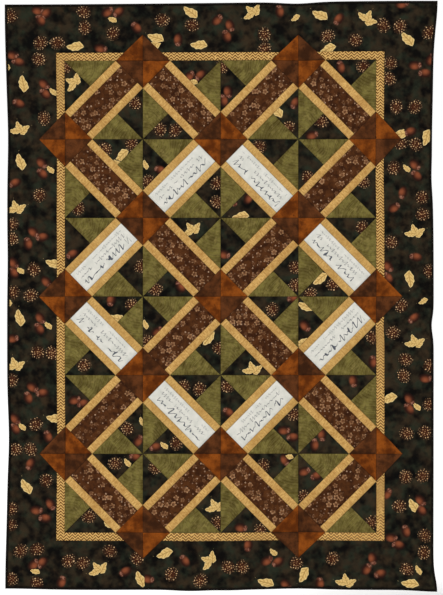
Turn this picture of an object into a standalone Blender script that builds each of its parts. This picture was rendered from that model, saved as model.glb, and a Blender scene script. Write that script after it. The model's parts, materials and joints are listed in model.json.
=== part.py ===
"""A pieced quilt that hangs from a rod in two open brackets on a wall rail.

The frame is the wall's: +Y points into the wall and -Y into the room, +X is
to the right as seen from the room, and +Z is up. The origin is the centre of
the rail's back face, which lies on the wall. All lengths are in metres.
"""

import math

import bmesh
import bpy
from mathutils import Vector

# Patchwork: a field of blocks inside a narrow border and a wide border.
BLOCK_W = 0.2275
BLOCK_H = 0.2300
COLUMNS = 4
ROWS = 6
NARROW_BORDER_W = 0.0236
OUTER_BORDER_W = 0.1433
FIELD_W = COLUMNS * BLOCK_W
FIELD_H = ROWS * BLOCK_H
INNER_W = FIELD_W + 2 * NARROW_BORDER_W
INNER_H = FIELD_H + 2 * NARROW_BORDER_W
QUILT_W = INNER_W + 2 * OUTER_BORDER_W
QUILT_H = INNER_H + 2 * OUTER_BORDER_W

# Layers of the quilt.
GAP = 0.0003
BACKING_T = 0.0008
BATTING_T = 0.0030
TOP_T = 0.0008
POINT_T = 0.0005
SEAM_SLOPE = 0.0012
SEAM_DEPTH = 0.0003
BINDING_T = 0.0010
BINDING_W = 0.0065

# Rod, and where the quilt hangs on it.
ROD_R = 0.011
ROD_LENGTH = 1.190
ROD_CHAMFER = 0.0012
ROD_AXIS = Vector((0.0, -0.040, 0.0))
QUILT_TOP_Z = 0.045
QUILT_CENTRE_Z = QUILT_TOP_Z - QUILT_H / 2
BACK_Y = ROD_AXIS.y - 0.0175

# Layer faces, from the wall side to the room side.
BACKING_FRONT_Y = BACK_Y - BACKING_T
BATTING_BACK_Y = BACKING_FRONT_Y - GAP
TOP_BACK_Y = BATTING_BACK_Y - BATTING_T - GAP
TOP_FRONT_Y = TOP_BACK_Y - TOP_T - SEAM_DEPTH
POINT_BACK_Y = TOP_FRONT_Y - GAP

# Sleeve on the quilt's back, which the rod runs through.
SLEEVE_LENGTH = 1.090
SLEEVE_T = 0.0010
SLEEVE_TOP_Z = 0.010
SLEEVE_BOTTOM_Z = -0.088
SLEEVE_FOOT = Vector((0.0030, -0.086))
SLEEVE_ARC_STEPS = 9

# Wall rail, its wall-screw holes and its pilot holes.
RAIL_W = 1.200
RAIL_H = 0.070
RAIL_T = 0.015
RAIL_BEVEL = 0.0015
WALL_HOLE_X = (-0.480, -0.180, 0.180, 0.480)
WALL_HOLE_R = 0.0026
WALL_HOLE_HEAD_R = 0.0052
PILOT_HOLE_R = 0.0019
PILOT_HOLE_DEPTH = 0.0100

# Brackets: a back plate and a cradle that is open at the top.
BRACKET_X = 0.570
BRACKET_W = 0.018
PLATE_T = 0.0050
PLATE_TOP_Z = 0.027
PLATE_BOTTOM_Z = -0.031
CRADLE_R = ROD_R + GAP
CRADLE_WALL = 0.0042
CRADLE_BACK_TOP_Z = 0.010
CRADLE_LIP_TOP_Z = 0.004
CRADLE_ARC_STEPS = 12

# Bracket screws.
SCREW_Z = {"upper": 0.0188, "lower": -0.0252}
SCREW_R = 0.0016
SCREW_HEAD_R = 0.0033
SCREW_HEAD_H = 0.0022
SCREW_LENGTH = 0.0140
SCREW_POINT = 0.0025
SOCKET_R = 0.0015
SOCKET_DEPTH = 0.0013

# Base colours (linear), roughness and metallic value of each material.
FINISHES = {
    "rust_cloth": ((0.138, 0.034, 0.006), 0.90, 0.0),
    "chocolate_cloth": ((0.061, 0.022, 0.010), 0.90, 0.0),
    "green_cloth": ((0.127, 0.102, 0.027), 0.90, 0.0),
    "dark_print_cloth": ((0.016, 0.014, 0.009), 0.90, 0.0),
    "brown_print_cloth": ((0.070, 0.027, 0.010), 0.90, 0.0),
    "gold_cloth": ((0.520, 0.296, 0.080), 0.88, 0.0),
    "narrow_border_cloth": ((0.434, 0.246, 0.072), 0.88, 0.0),
    "white_cloth": ((0.716, 0.716, 0.645), 0.88, 0.0),
    "binding_cloth": ((0.006, 0.005, 0.004), 0.90, 0.0),
    "backing_cloth": ((0.500, 0.410, 0.270), 0.92, 0.0),
    "batting_fleece": ((0.800, 0.780, 0.720), 1.00, 0.0),
    "pine": ((0.520, 0.330, 0.160), 0.55, 0.0),
    "beech": ((0.560, 0.360, 0.190), 0.45, 0.0),
    "black_steel": ((0.020, 0.020, 0.022), 0.45, 1.0),
    "zinc_steel": ((0.560, 0.560, 0.550), 0.35, 1.0),
}

# Patches of one block in unit coordinates: a diagonal band of three strips,
# a small triangle at each end of it and two split triangles beside it.
CORNER_LEG = 0.35
CENTRE_EDGE = 0.2125
LEG = CORNER_LEG
NEAR = (CORNER_LEG + CENTRE_EDGE) / 2
FAR = (CORNER_LEG - CENTRE_EDGE) / 2
APEX_LOW = (1 - CORNER_LEG) / 2
APEX_HIGH = (1 + CORNER_LEG) / 2
BLOCK_PATCHES = (
    ("low_corner", ((0, 0), (LEG, 0), (NEAR, FAR), (FAR, NEAR), (0, LEG))),
    ("gold_strip", ((LEG, 0), (APEX_HIGH, APEX_LOW), (1, 1 - LEG), (1 - FAR, 1 - NEAR), (NEAR, FAR))),
    ("centre_strip", ((NEAR, FAR), (1 - FAR, 1 - NEAR), (1 - NEAR, 1 - FAR), (FAR, NEAR))),
    ("gold_strip", ((FAR, NEAR), (1 - NEAR, 1 - FAR), (1 - LEG, 1), (APEX_LOW, APEX_HIGH), (0, LEG))),
    ("high_corner", ((1, 1), (1 - LEG, 1), (1 - NEAR, 1 - FAR), (1 - FAR, 1 - NEAR), (1, 1 - LEG))),
    ("level_triangle", ((LEG, 0), (1, 0), (APEX_HIGH, APEX_LOW))),
    ("upright_triangle", ((1, 0), (1, 1 - LEG), (APEX_HIGH, APEX_LOW))),
    ("level_triangle", ((1 - LEG, 1), (0, 1), (APEX_LOW, APEX_HIGH))),
    ("upright_triangle", ((0, 1), (0, LEG), (APEX_LOW, APEX_HIGH))),
)

# Blocks, as (column, row) from the top left, whose centre strip is white.
WHITE_STRIP_BLOCKS = ((1, 1), (2, 1), (0, 2), (3, 2), (0, 3), (3, 3), (1, 4), (2, 4))

# How far a point reaches out from the field across the borders.
POINT_REACH = 0.0765

# Grid lines that carry a diamond whose outer half is such a point.
TOP_POINT_COLUMNS = {"left": 1, "right": 3}
SIDE_POINT_ROWS = {"upper": 1, "middle": 3, "lower": 5}


def clear_scene():
    """Remove every object that the file starts with."""
    for old in list(bpy.data.objects):
        bpy.data.objects.remove(old, do_unlink=True)


def material(name):
    """Return the named finish as a Principled BSDF material, made once."""
    if name in bpy.data.materials:
        return bpy.data.materials[name]
    colour, roughness, metallic = FINISHES[name]
    made = bpy.data.materials.new(name)
    made.use_nodes = True
    shader = made.node_tree.nodes["Principled BSDF"]
    shader.inputs["Base Color"].default_value = (*colour, 1.0)
    shader.inputs["Roughness"].default_value = roughness
    shader.inputs["Metallic"].default_value = metallic
    return made


def world_place(obj):
    """Return an object's place in the world; no parent here is rotated."""
    place = Vector((0.0, 0.0, 0.0))
    while obj is not None:
        place += obj.location
        obj = obj.parent
    return place


def add_empty(name, place, parent):
    """Add an empty that marks a body's origin or a joint's axis."""
    empty = bpy.data.objects.new(name, None)
    bpy.context.scene.collection.objects.link(empty)
    empty.parent = parent
    empty.location = place - world_place(parent)
    return empty


def add_object(name, bm, place, parent, finishes, smooth=False):
    """Turn a mesh built in world space into an object with its origin at place."""
    bmesh.ops.translate(bm, verts=bm.verts[:], vec=-place)
    bmesh.ops.recalc_face_normals(bm, faces=bm.faces[:])
    mesh = bpy.data.meshes.new(name)
    bm.to_mesh(mesh)
    bm.free()
    for finish in finishes:
        mesh.materials.append(material(finish))
    if smooth:
        mesh.shade_smooth()
        mesh.set_sharp_from_angle(angle=math.radians(35))
    obj = bpy.data.objects.new(name, mesh)
    bpy.context.scene.collection.objects.link(obj)
    obj.parent = parent
    obj.location = place - world_place(parent)
    return obj


def cut(obj, cutter):
    """Cut a hidden solid out of an object."""
    cutter.hide_render = True
    cutter.display_type = "WIRE"
    boolean = obj.modifiers.new("holes", "BOOLEAN")
    boolean.operation = "DIFFERENCE"
    boolean.solver = "EXACT"
    boolean.object = cutter


def box_bmesh(low, high):
    """Return a box between two corners."""
    bm = bmesh.new()
    low, high = Vector(low), Vector(high)
    made = bmesh.ops.create_cube(bm, size=1.0)
    bmesh.ops.scale(bm, vec=high - low, verts=made["verts"])
    bmesh.ops.translate(bm, vec=(low + high) / 2, verts=made["verts"])
    return bm


def add_turned(bm, profile, start, along, segments):
    """Add a solid of revolution: profile holds (distance along, radius) pairs."""
    along = Vector(along).normalized()
    side = along.orthogonal().normalized()
    other = along.cross(side)
    rings = []
    for distance, radius in profile:
        ring = []
        for step in range(segments):
            turn = math.tau * step / segments
            spoke = side * math.cos(turn) + other * math.sin(turn)
            ring.append(bm.verts.new(start + along * distance + spoke * radius))
        rings.append(ring)
    for near, far in zip(rings, rings[1:]):
        for step in range(segments):
            after = (step + 1) % segments
            bm.faces.new((near[step], near[after], far[after], far[step]))
    bm.faces.new(rings[0])
    bm.faces.new(rings[-1])


def add_loft(bm, rings, closed_ends=True):
    """Join closed rings of equal length into one skin."""
    made = [[bm.verts.new(point) for point in ring] for ring in rings]
    for near, far in zip(made, made[1:]):
        for step in range(len(near)):
            after = (step + 1) % len(near)
            bm.faces.new((near[step], near[after], far[after], far[step]))
    if closed_ends:
        bm.faces.new(made[0])
        bm.faces.new(made[-1])
    return made


def signed_area(outline):
    """Return twice the signed area of a flat outline."""
    following = outline[1:] + outline[:1]
    return sum(a[0] * b[1] - b[0] * a[1] for a, b in zip(outline, following))


def patchwork_bmesh(patches, back_y, thickness):
    """Sew flat patches into one sheet whose patches stand proud of the seams.

    patches holds (material index, outline) pairs, with outlines as (x, z)
    points. The sheet's back is at back_y and its front faces the room.
    """
    bm = bmesh.new()
    corners = {}
    for material_index, outline in patches:
        outline = list(outline)
        if signed_area(outline) < 0:
            outline.reverse()
        ring = []
        for x, z in outline:
            key = (round(x, 6), round(z, 6))
            if key not in corners:
                corners[key] = bm.verts.new((x, back_y, z))
            ring.append(corners[key])
        bm.faces.new(ring).material_index = material_index
    extruded = bmesh.ops.extrude_face_region(bm, geom=bm.faces[:])
    raised = [part for part in extruded["geom"] if isinstance(part, bmesh.types.BMVert)]
    bmesh.ops.translate(bm, verts=raised, vec=(0.0, -thickness, 0.0))
    bmesh.ops.recalc_face_normals(bm, faces=bm.faces[:])
    front = [face for face in bm.faces if face.normal.y < -0.9]
    bmesh.ops.inset_individual(bm, faces=front, thickness=SEAM_SLOPE, depth=SEAM_DEPTH)
    return bm


def shrunk(outline, margin):
    """Pull an outline's bounding edges in by a margin, to clear its neighbours."""
    xs = [x for x, z in outline]
    zs = [z for x, z in outline]
    centre_x, centre_z = (min(xs) + max(xs)) / 2, (min(zs) + max(zs)) / 2
    scale_x = 1 - 2 * margin / (max(xs) - min(xs))
    scale_z = 1 - 2 * margin / (max(zs) - min(zs))
    return [(centre_x + (x - centre_x) * scale_x, centre_z + (z - centre_z) * scale_z) for x, z in outline]


def rectangle(left, right, bottom, top):
    """Return a rectangle's corners, pulled in by half a gap on each side."""
    margin = GAP / 2
    return (
        (left + margin, bottom + margin),
        (right - margin, bottom + margin),
        (right - margin, top - margin),
        (left + margin, top - margin),
    )


def grid_x(column):
    """Return the x of a grid line of the field, 0 at its left edge."""
    return -FIELD_W / 2 + column * BLOCK_W


def grid_z(row):
    """Return the z of a grid line of the field, 0 at its top edge."""
    return QUILT_CENTRE_Z + FIELD_H / 2 - row * BLOCK_H


def block_finishes(column, row, mirrored):
    """Return the finish of each kind of patch; four blocks' corners meet as one two-colour diamond."""
    rust_below = (row % 2 == 0) != mirrored
    return {
        "low_corner": "rust_cloth" if rust_below else "chocolate_cloth",
        "high_corner": "chocolate_cloth" if rust_below else "rust_cloth",
        "gold_strip": "gold_cloth",
        "centre_strip": "white_cloth" if (column, row) in WHITE_STRIP_BLOCKS else "brown_print_cloth",
        "level_triangle": "dark_print_cloth" if mirrored else "green_cloth",
        "upright_triangle": "green_cloth" if mirrored else "dark_print_cloth",
    }


def make_block(column, row, parent):
    """Make one block of nine patches; the band leans the other way on every second one."""
    left, bottom = grid_x(column), grid_z(row + 1)
    mirrored = (column + row) % 2 == 1
    finish_of = block_finishes(column, row, mirrored)
    finishes = sorted(set(finish_of.values()))
    edge = GAP / 2
    patches = []
    for kind, unit_outline in BLOCK_PATCHES:
        outline = []
        for across, up in unit_outline:
            if mirrored:
                across = 1 - across
            x = left + edge + across * (BLOCK_W - GAP)
            z = bottom + edge + up * (BLOCK_H - GAP)
            outline.append((x, z))
        patches.append((finishes.index(finish_of[kind]), outline))
    bm = patchwork_bmesh(patches, TOP_BACK_Y, TOP_T)
    centre = Vector((left + BLOCK_W / 2, TOP_BACK_Y, bottom + BLOCK_H / 2))
    add_object(f"block_row{row + 1}_col{column + 1}", bm, centre, parent, finishes)


def make_borders(parent):
    """Make the narrow border and the wide border, four strips each."""
    layer_half_w = QUILT_W / 2 - BINDING_T - GAP
    layer_half_h = QUILT_H / 2 - BINDING_T - GAP
    rings = (
        ("narrow_border", "narrow_border_cloth", FIELD_W / 2, FIELD_H / 2, INNER_W / 2, INNER_H / 2),
        ("outer_border", "dark_print_cloth", INNER_W / 2, INNER_H / 2, layer_half_w, layer_half_h),
    )
    for name, finish, in_x, in_z, out_x, out_z in rings:
        strips = {
            "left": (-out_x, -in_x, -in_z, in_z),
            "right": (in_x, out_x, -in_z, in_z),
            "top": (-out_x, out_x, in_z, out_z),
            "bottom": (-out_x, out_x, -out_z, -in_z),
        }
        for side, (left, right, bottom, top) in strips.items():
            outline = rectangle(left, right, bottom + QUILT_CENTRE_Z, top + QUILT_CENTRE_Z)
            bm = patchwork_bmesh([(0, outline)], TOP_BACK_Y, TOP_T)
            centre = Vector(((left + right) / 2, TOP_BACK_Y, (bottom + top) / 2 + QUILT_CENTRE_Z))
            add_object(f"{name}_{side}", bm, centre, parent, [finish])


def make_point(name, tip, base_a, base_b, parent, finishes):
    """Make the outer half of an edge diamond: two patches that meet on its centre line."""
    middle = ((base_a[0] + base_b[0]) / 2, (base_a[1] + base_b[1]) / 2)
    outline = shrunk([tip, base_a, middle, base_b], GAP)
    patches = [(0, [outline[0], outline[1], outline[2]]), (1, [outline[0], outline[2], outline[3]])]
    bm = patchwork_bmesh(patches, POINT_BACK_Y, POINT_T)
    centre = Vector((middle[0], POINT_BACK_Y, middle[1]))
    add_object(name, bm, centre, parent, finishes)


def make_points(parent):
    """Make the points that cross the borders at the ends of the grid lines."""
    half_x, half_z = CORNER_LEG * BLOCK_W, CORNER_LEG * BLOCK_H
    for side, column in TOP_POINT_COLUMNS.items():
        x = grid_x(column)
        for edge, row, outward in (("top", 0, 1), ("bottom", ROWS, -1)):
            z = grid_z(row)
            tip = (x, z + outward * POINT_REACH)
            left_finish = "rust_cloth" if edge == "top" else "chocolate_cloth"
            right_finish = "chocolate_cloth" if edge == "top" else "rust_cloth"
            make_point(
                f"point_{edge}_{side}", tip, (x - half_x, z), (x + half_x, z), parent, [left_finish, right_finish]
            )
    for level, row in SIDE_POINT_ROWS.items():
        z = grid_z(row)
        for side, column, outward in (("left", 0, -1), ("right", COLUMNS, 1)):
            x = grid_x(column)
            tip = (x + outward * POINT_REACH, z)
            upper_finish = "chocolate_cloth" if side == "left" else "rust_cloth"
            lower_finish = "rust_cloth" if side == "left" else "chocolate_cloth"
            make_point(
                f"point_{side}_{level}", tip, (x, z + half_z), (x, z - half_z), parent, [upper_finish, lower_finish]
            )


def make_inner_layers(parent):
    """Make the batting and the backing, which both reach into the binding."""
    half_w = QUILT_W / 2 - BINDING_T - GAP
    half_h = QUILT_H / 2 - BINDING_T - GAP
    layers = (
        ("batting", "batting_fleece", BATTING_BACK_Y - BATTING_T, BATTING_BACK_Y),
        ("backing", "backing_cloth", BACKING_FRONT_Y, BACK_Y),
    )
    for name, finish, front_y, back_y in layers:
        low = (-half_w, front_y, QUILT_CENTRE_Z - half_h)
        high = (half_w, back_y, QUILT_CENTRE_Z + half_h)
        centre = Vector((0.0, (front_y + back_y) / 2, QUILT_CENTRE_Z))
        add_object(name, box_bmesh(low, high), centre, parent, [finish])


def binding_profile():
    """Return the folded strip's section as (depth in from the edge, y) points."""
    front_y = TOP_FRONT_Y - GAP - BINDING_T
    back_y = BACK_Y + GAP + BINDING_T
    return (
        (0.0, front_y),
        (BINDING_W, front_y),
        (BINDING_W, front_y + BINDING_T),
        (BINDING_T, front_y + BINDING_T),
        (BINDING_T, back_y - BINDING_T),
        (BINDING_W, back_y - BINDING_T),
        (BINDING_W, back_y),
        (0.0, back_y),
    )


def make_binding(parent):
    """Make the four folded strips, mitred where they meet."""
    half_w, half_h = QUILT_W / 2, QUILT_H / 2
    for side, outward in (("left", -1), ("right", 1)):
        rings = []
        for end in (-1, 1):
            ring = []
            for depth, y in binding_profile():
                z = QUILT_CENTRE_Z + end * (half_h - depth - GAP / 2)
                ring.append((outward * (half_w - depth), y, z))
            rings.append(ring)
        add_strip(f"binding_{side}", rings, Vector((outward * half_w, BACK_Y, QUILT_CENTRE_Z)), parent)
    for side, outward in (("bottom", -1), ("top", 1)):
        rings = []
        for end in (-1, 1):
            ring = []
            for depth, y in binding_profile():
                z = QUILT_CENTRE_Z + outward * (half_h - depth)
                ring.append((end * (half_w - depth - GAP / 2), y, z))
            rings.append(ring)
        add_strip(f"binding_{side}", rings, Vector((0.0, BACK_Y, QUILT_CENTRE_Z + outward * half_h)), parent)


def add_strip(name, rings, place, parent):
    """Make one binding strip from the rings at its two ends."""
    bm = bmesh.new()
    add_loft(bm, rings)
    add_object(name, bm, place, parent, ["binding_cloth"])


def tangent_angle(point, radius, turn):
    """Return the angle at which a line from a point touches a circle about the origin."""
    return math.atan2(point.y, point.x) + turn * math.acos(radius / point.length)


def sleeve_outline(grown):
    """Return the sleeve's section about the rod's axis as (y, z) points.

    It lies flat against the backing, goes over the rod and comes back to the
    backing at its lower seam. grown is how far it is offset outwards.
    """
    radius = ROD_R + GAP + grown
    front = BACK_Y + GAP + SLEEVE_T - ROD_AXIS.y - grown
    top = Vector((front, SLEEVE_TOP_Z + grown))
    foot = Vector((front + SLEEVE_FOOT.x + 2 * grown, SLEEVE_FOOT.y))
    last = tangent_angle(top, radius, -1)
    first = tangent_angle(foot, radius, 1)
    points = [(front, SLEEVE_BOTTOM_Z - grown), (foot.x, SLEEVE_BOTTOM_Z + 0.001 - grown)]
    for step in range(SLEEVE_ARC_STEPS + 1):
        angle = first + (last - first) * step / SLEEVE_ARC_STEPS
        points.append((radius * math.cos(angle), radius * math.sin(angle)))
    points.append((top.x, top.y))
    return points


def make_sleeve(parent):
    """Make the fabric tube that the rod runs through; its ends are open."""
    bm = bmesh.new()
    rings = []
    for x, grown in ((-1, 0), (1, 0), (1, SLEEVE_T), (-1, SLEEVE_T)):
        ring = []
        for y, z in sleeve_outline(grown):
            ring.append((x * SLEEVE_LENGTH / 2, ROD_AXIS.y + y, ROD_AXIS.z + z))
        rings.append(ring)
    rings.append(rings[0])
    add_loft(bm, rings, closed_ends=False)
    bmesh.ops.remove_doubles(bm, verts=bm.verts[:], dist=0.00001)
    add_object("hanging_sleeve", bm, ROD_AXIS.copy(), parent, ["backing_cloth"])


def make_rod(parent):
    """Make the round wooden rod, chamfered at both ends."""
    bm = bmesh.new()
    profile = (
        (0.0, ROD_R - ROD_CHAMFER),
        (ROD_CHAMFER, ROD_R),
        (ROD_LENGTH - ROD_CHAMFER, ROD_R),
        (ROD_LENGTH, ROD_R - ROD_CHAMFER),
    )
    start = ROD_AXIS - Vector((ROD_LENGTH / 2, 0.0, 0.0))
    add_turned(bm, profile, start, (1, 0, 0), 32)
    return add_object("hanging_rod", bm, ROD_AXIS.copy(), parent, ["beech"], smooth=True)


def make_rail(parent):
    """Make the wooden rail with countersunk wall holes and blind pilot holes."""
    low = (-RAIL_W / 2, -RAIL_T, -RAIL_H / 2)
    high = (RAIL_W / 2, 0.0, RAIL_H / 2)
    rail = add_object("wall_rail", box_bmesh(low, high), Vector((0, 0, 0)), parent, ["pine"])
    bevel = rail.modifiers.new("eased_edges", "BEVEL")
    bevel.width = RAIL_BEVEL
    bevel.segments = 2
    bm = bmesh.new()
    sink = WALL_HOLE_HEAD_R - WALL_HOLE_R
    over = 0.002
    through = (
        (0.0, WALL_HOLE_HEAD_R + over),
        (over, WALL_HOLE_HEAD_R),
        (over + sink, WALL_HOLE_R),
        (RAIL_T + 2 * over, WALL_HOLE_R),
    )
    for x in WALL_HOLE_X:
        add_turned(bm, through, Vector((x, -RAIL_T - over, 0.0)), (0, 1, 0), 20)
    blind = ((0.0, PILOT_HOLE_R), (over + PILOT_HOLE_DEPTH, PILOT_HOLE_R))
    for x in (-BRACKET_X, BRACKET_X):
        for z in SCREW_Z.values():
            add_turned(bm, blind, Vector((x, -RAIL_T - over, z)), (0, 1, 0), 12)
    cut(rail, add_object("rail_hole_cutter", bm, Vector((0, 0, 0)), parent, ["pine"]))


def bracket_outline():
    """Return the bracket's side outline about the rod's axis as (y, z) points."""
    plate_back = -RAIL_T - GAP - ROD_AXIS.y
    plate_front = plate_back - PLATE_T
    outer = CRADLE_R + CRADLE_WALL
    points = [
        (plate_back, PLATE_BOTTOM_Z),
        (plate_back, PLATE_TOP_Z),
        (plate_front, PLATE_TOP_Z),
        (plate_front, CRADLE_BACK_TOP_Z),
        (CRADLE_R, CRADLE_BACK_TOP_Z),
    ]
    for step in range(CRADLE_ARC_STEPS + 1):
        angle = -math.pi * step / CRADLE_ARC_STEPS
        points.append((CRADLE_R * math.cos(angle), CRADLE_R * math.sin(angle)))
    points.append((-CRADLE_R, CRADLE_LIP_TOP_Z))
    points.append((-outer, CRADLE_LIP_TOP_Z))
    for step in range(CRADLE_ARC_STEPS // 2 + 2):
        angle = math.pi + math.pi * step / CRADLE_ARC_STEPS
        points.append((outer * math.cos(angle), outer * math.sin(angle)))
    points.append((plate_front, -outer - 0.0030))
    points.append((plate_front, PLATE_BOTTOM_Z))
    return points


def make_bracket(side, x, parent):
    """Make one bracket and the two screws that hold it to the rail."""
    bm = bmesh.new()
    rings = []
    for end in (-1, 1):
        ring = []
        for y, z in bracket_outline():
            ring.append((x + end * BRACKET_W / 2, ROD_AXIS.y + y, ROD_AXIS.z + z))
        rings.append(ring)
    add_loft(bm, rings)
    place = Vector((x, -RAIL_T - GAP, 0.0))
    bracket = add_object(f"bracket_{side}", bm, place, parent, ["black_steel"], smooth=True)
    holes = bmesh.new()
    clearance = ((-0.002, SCREW_R + GAP), (PLATE_T + 0.002, SCREW_R + GAP))
    for z in SCREW_Z.values():
        add_turned(holes, clearance, Vector((x, -RAIL_T - GAP - PLATE_T, z)), (0, 1, 0), 20)
    cut(bracket, add_object(f"bracket_{side}_hole_cutter", holes, place, parent, ["black_steel"]))
    for level, z in SCREW_Z.items():
        make_screw(f"bracket_screw_{side}_{level}", Vector((x, 0.0, z)), parent)


def make_screw(name, centre, parent):
    """Make a round-headed screw with a hexagon socket, its head on the plate."""
    under_head = Vector((centre.x, -RAIL_T - 2 * GAP - PLATE_T, centre.z))
    profile = (
        (-SCREW_HEAD_H, SCREW_HEAD_R * 0.55),
        (-SCREW_HEAD_H * 0.75, SCREW_HEAD_R * 0.85),
        (-SCREW_HEAD_H * 0.35, SCREW_HEAD_R),
        (0.0, SCREW_HEAD_R),
        (0.0, SCREW_R),
        (SCREW_LENGTH - SCREW_POINT, SCREW_R),
        (SCREW_LENGTH, SCREW_R * 0.3),
    )
    bm = bmesh.new()
    add_turned(bm, profile, under_head, (0, 1, 0), 20)
    screw = add_object(name, bm, under_head, parent, ["zinc_steel"], smooth=True)
    socket = bmesh.new()
    head_top = under_head - Vector((0.0, SCREW_HEAD_H, 0.0))
    depths = ((-0.001, SOCKET_R), (SOCKET_DEPTH, SOCKET_R))
    add_turned(socket, depths, head_top, (0, 1, 0), 6)
    cut(screw, add_object(f"{name}_socket_cutter", socket, under_head, parent, ["zinc_steel"]))


def main():
    """Build the rack, the rod on it and the quilt on the rod."""
    clear_scene()
    rack = add_empty("rack_origin", Vector((0, 0, 0)), None)
    make_rail(rack)
    make_bracket("left", -BRACKET_X, rack)
    make_bracket("right", BRACKET_X, rack)
    rod = make_rod(rack)
    quilt = add_empty("quilt_swing_axis", ROD_AXIS.copy(), rod)
    for row in range(ROWS):
        for column in range(COLUMNS):
            make_block(column, row, quilt)
    make_borders(quilt)
    make_points(quilt)
    make_inner_layers(quilt)
    make_binding(quilt)
    make_sleeve(quilt)


main()
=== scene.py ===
"""Looks of the wall-hung patchwork quilt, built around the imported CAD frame.

Every quilt node is replaced by a finely meshed cloth piece in the same place.
The quilt hangs in the x-z plane with its front towards -Y. All lengths are in
metres and all places come from the CAD nodes' boxes.
"""

import json
import math

import bpy
import numpy as np
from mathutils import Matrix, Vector


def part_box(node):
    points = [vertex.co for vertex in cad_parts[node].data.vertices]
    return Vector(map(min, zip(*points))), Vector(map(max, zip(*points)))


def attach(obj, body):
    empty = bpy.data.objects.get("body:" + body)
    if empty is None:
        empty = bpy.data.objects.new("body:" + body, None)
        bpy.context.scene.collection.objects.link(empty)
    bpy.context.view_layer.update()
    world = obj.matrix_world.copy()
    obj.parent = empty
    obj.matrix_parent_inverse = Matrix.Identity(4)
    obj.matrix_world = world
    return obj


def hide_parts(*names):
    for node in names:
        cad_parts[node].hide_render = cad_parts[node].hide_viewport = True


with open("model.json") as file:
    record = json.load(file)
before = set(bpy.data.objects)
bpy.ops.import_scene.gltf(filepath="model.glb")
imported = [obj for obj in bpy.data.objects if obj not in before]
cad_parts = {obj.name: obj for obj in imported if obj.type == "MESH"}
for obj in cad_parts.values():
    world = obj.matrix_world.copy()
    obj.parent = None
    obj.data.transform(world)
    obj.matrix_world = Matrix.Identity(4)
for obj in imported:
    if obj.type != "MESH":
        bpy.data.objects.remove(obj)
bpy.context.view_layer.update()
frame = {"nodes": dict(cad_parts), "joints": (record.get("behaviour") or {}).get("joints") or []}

COLUMNS = 4
ROWS = 6
SEED = 20

# Places read from the frame.
QUILT_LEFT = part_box("binding_left")[0].x
QUILT_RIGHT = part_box("binding_right")[1].x
QUILT_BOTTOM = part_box("binding_bottom")[0].z
QUILT_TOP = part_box("binding_top")[1].z
HALF_W = (QUILT_RIGHT - QUILT_LEFT) / 2
HALF_H = (QUILT_TOP - QUILT_BOTTOM) / 2
CENTRE_X = (QUILT_LEFT + QUILT_RIGHT) / 2
CENTRE_Z = (QUILT_BOTTOM + QUILT_TOP) / 2
FIRST_LOW, FIRST_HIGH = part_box("block_row1_col1")
LAST_LOW, LAST_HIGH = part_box(f"block_row{ROWS}_col{COLUMNS}")
FIELD_LEFT, FIELD_RIGHT = FIRST_LOW.x, LAST_HIGH.x
FIELD_TOP, FIELD_BOTTOM = FIRST_HIGH.z, LAST_LOW.z
BLOCK_W = (FIELD_RIGHT - FIELD_LEFT) / COLUMNS
BLOCK_H = (FIELD_TOP - FIELD_BOTTOM) / ROWS
FRONT_Y = FIRST_LOW.y
BATTING_FRONT_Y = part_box("batting")[0].y
BATTING_BACK_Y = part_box("batting")[1].y
BACKING_FRONT_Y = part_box("backing")[0].y
BACKING_BACK_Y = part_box("backing")[1].y
POINT_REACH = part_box("point_top_left")[1].z - FIELD_TOP
ROD_AXIS = Vector(next(joint for joint in frame["joints"] if joint["name"] == "quilt_swing")["pos_m"])
ROD_R = (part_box("hanging_rod")[1].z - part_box("hanging_rod")[0].z) / 2

NARROW_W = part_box("narrow_border_right")[1].x - FIELD_RIGHT
BINDING_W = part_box("binding_left")[1].x - QUILT_LEFT
SLEEVE_LOW, SLEEVE_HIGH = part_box("hanging_sleeve")

# A block's corner triangles and the edge of its centre strip, in block widths.
CORNER_LEG = 0.35
CENTRE_EDGE = 0.2125

# Mesh sizes, and how many fine cells one cell of a layer's hidden side spans.
BLOCK_CELL = 0.00285
BORDER_CELL = 0.0030
BACKING_CELL = 0.0072
BATTING_CELL = 0.0120
BLOCK_BACK_STEP = 8
BACK_STEP = 6
POINT_CELLS = (56, 28)
BINDING_CELL = 0.006
SLEEVE_CELL = 0.008
SLEEVE_STEPS = 13
ROLL_STEPS = 8
SHARP_ANGLE = 50

# Relief of the quilted layers.
SEAM_DEPTH = 0.0008
PUFF = 0.0012
CRUMPLE = 0.0002
VALLEY = 0.0032
POINT_VALLEY = 0.0026
POINT_PUFF = PUFF * 0.9
POINT_SEAM_DEPTH = 0.0003
POINT_BACK_DEPTH = 0.0006
BACKING_VALLEY = 0.0042
BACKING_PUFF = 0.0008
BACKING_DIP = 0.0007
PRESSED_MARGIN = 0.004
PRESSED_BLEND = 0.006
TUCK_DEPTH = 0.0011
TUCK_EDGE = 0.0015
SEAM_LAP = 0.0003
LAYER_GAP = 0.0002
CLOTH_T = 0.0009
FAR_FROM_SEAM = 0.01
ECHO_SPACING = 0.0095
ECHO_DEPTH = 0.0006
ECHO_WIDTH = 0.0017
MEANDER_SIZE = 0.034
MEANDER_DEPTH = 0.0010
MEANDER_WIDTH = 0.0026

# Binding, rolled over the edge, and sleeve: the height of its upper seam above
# the rod's axis, its hem and the room round the rod.
HEM_DIP = 0.0003
ROLL_BULGE = 0.55
PUCKER = 0.00022
SLEEVE_SEAM_Z = 0.0105
HEM_RISE = 0.0010
ROD_SLACK = 0.0003

# Slow upright folds that grow towards the foot: depth, waves across and up in
# radians per half width and half height, and phase. The sides curl back.
FOLDS = ((0.0024, 5.1, 0.0, 0.8), (0.0015, 9.3, -2.2, 2.0))
RIPPLE = 0.0009
SIDE_CURL = 0.0030

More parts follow.
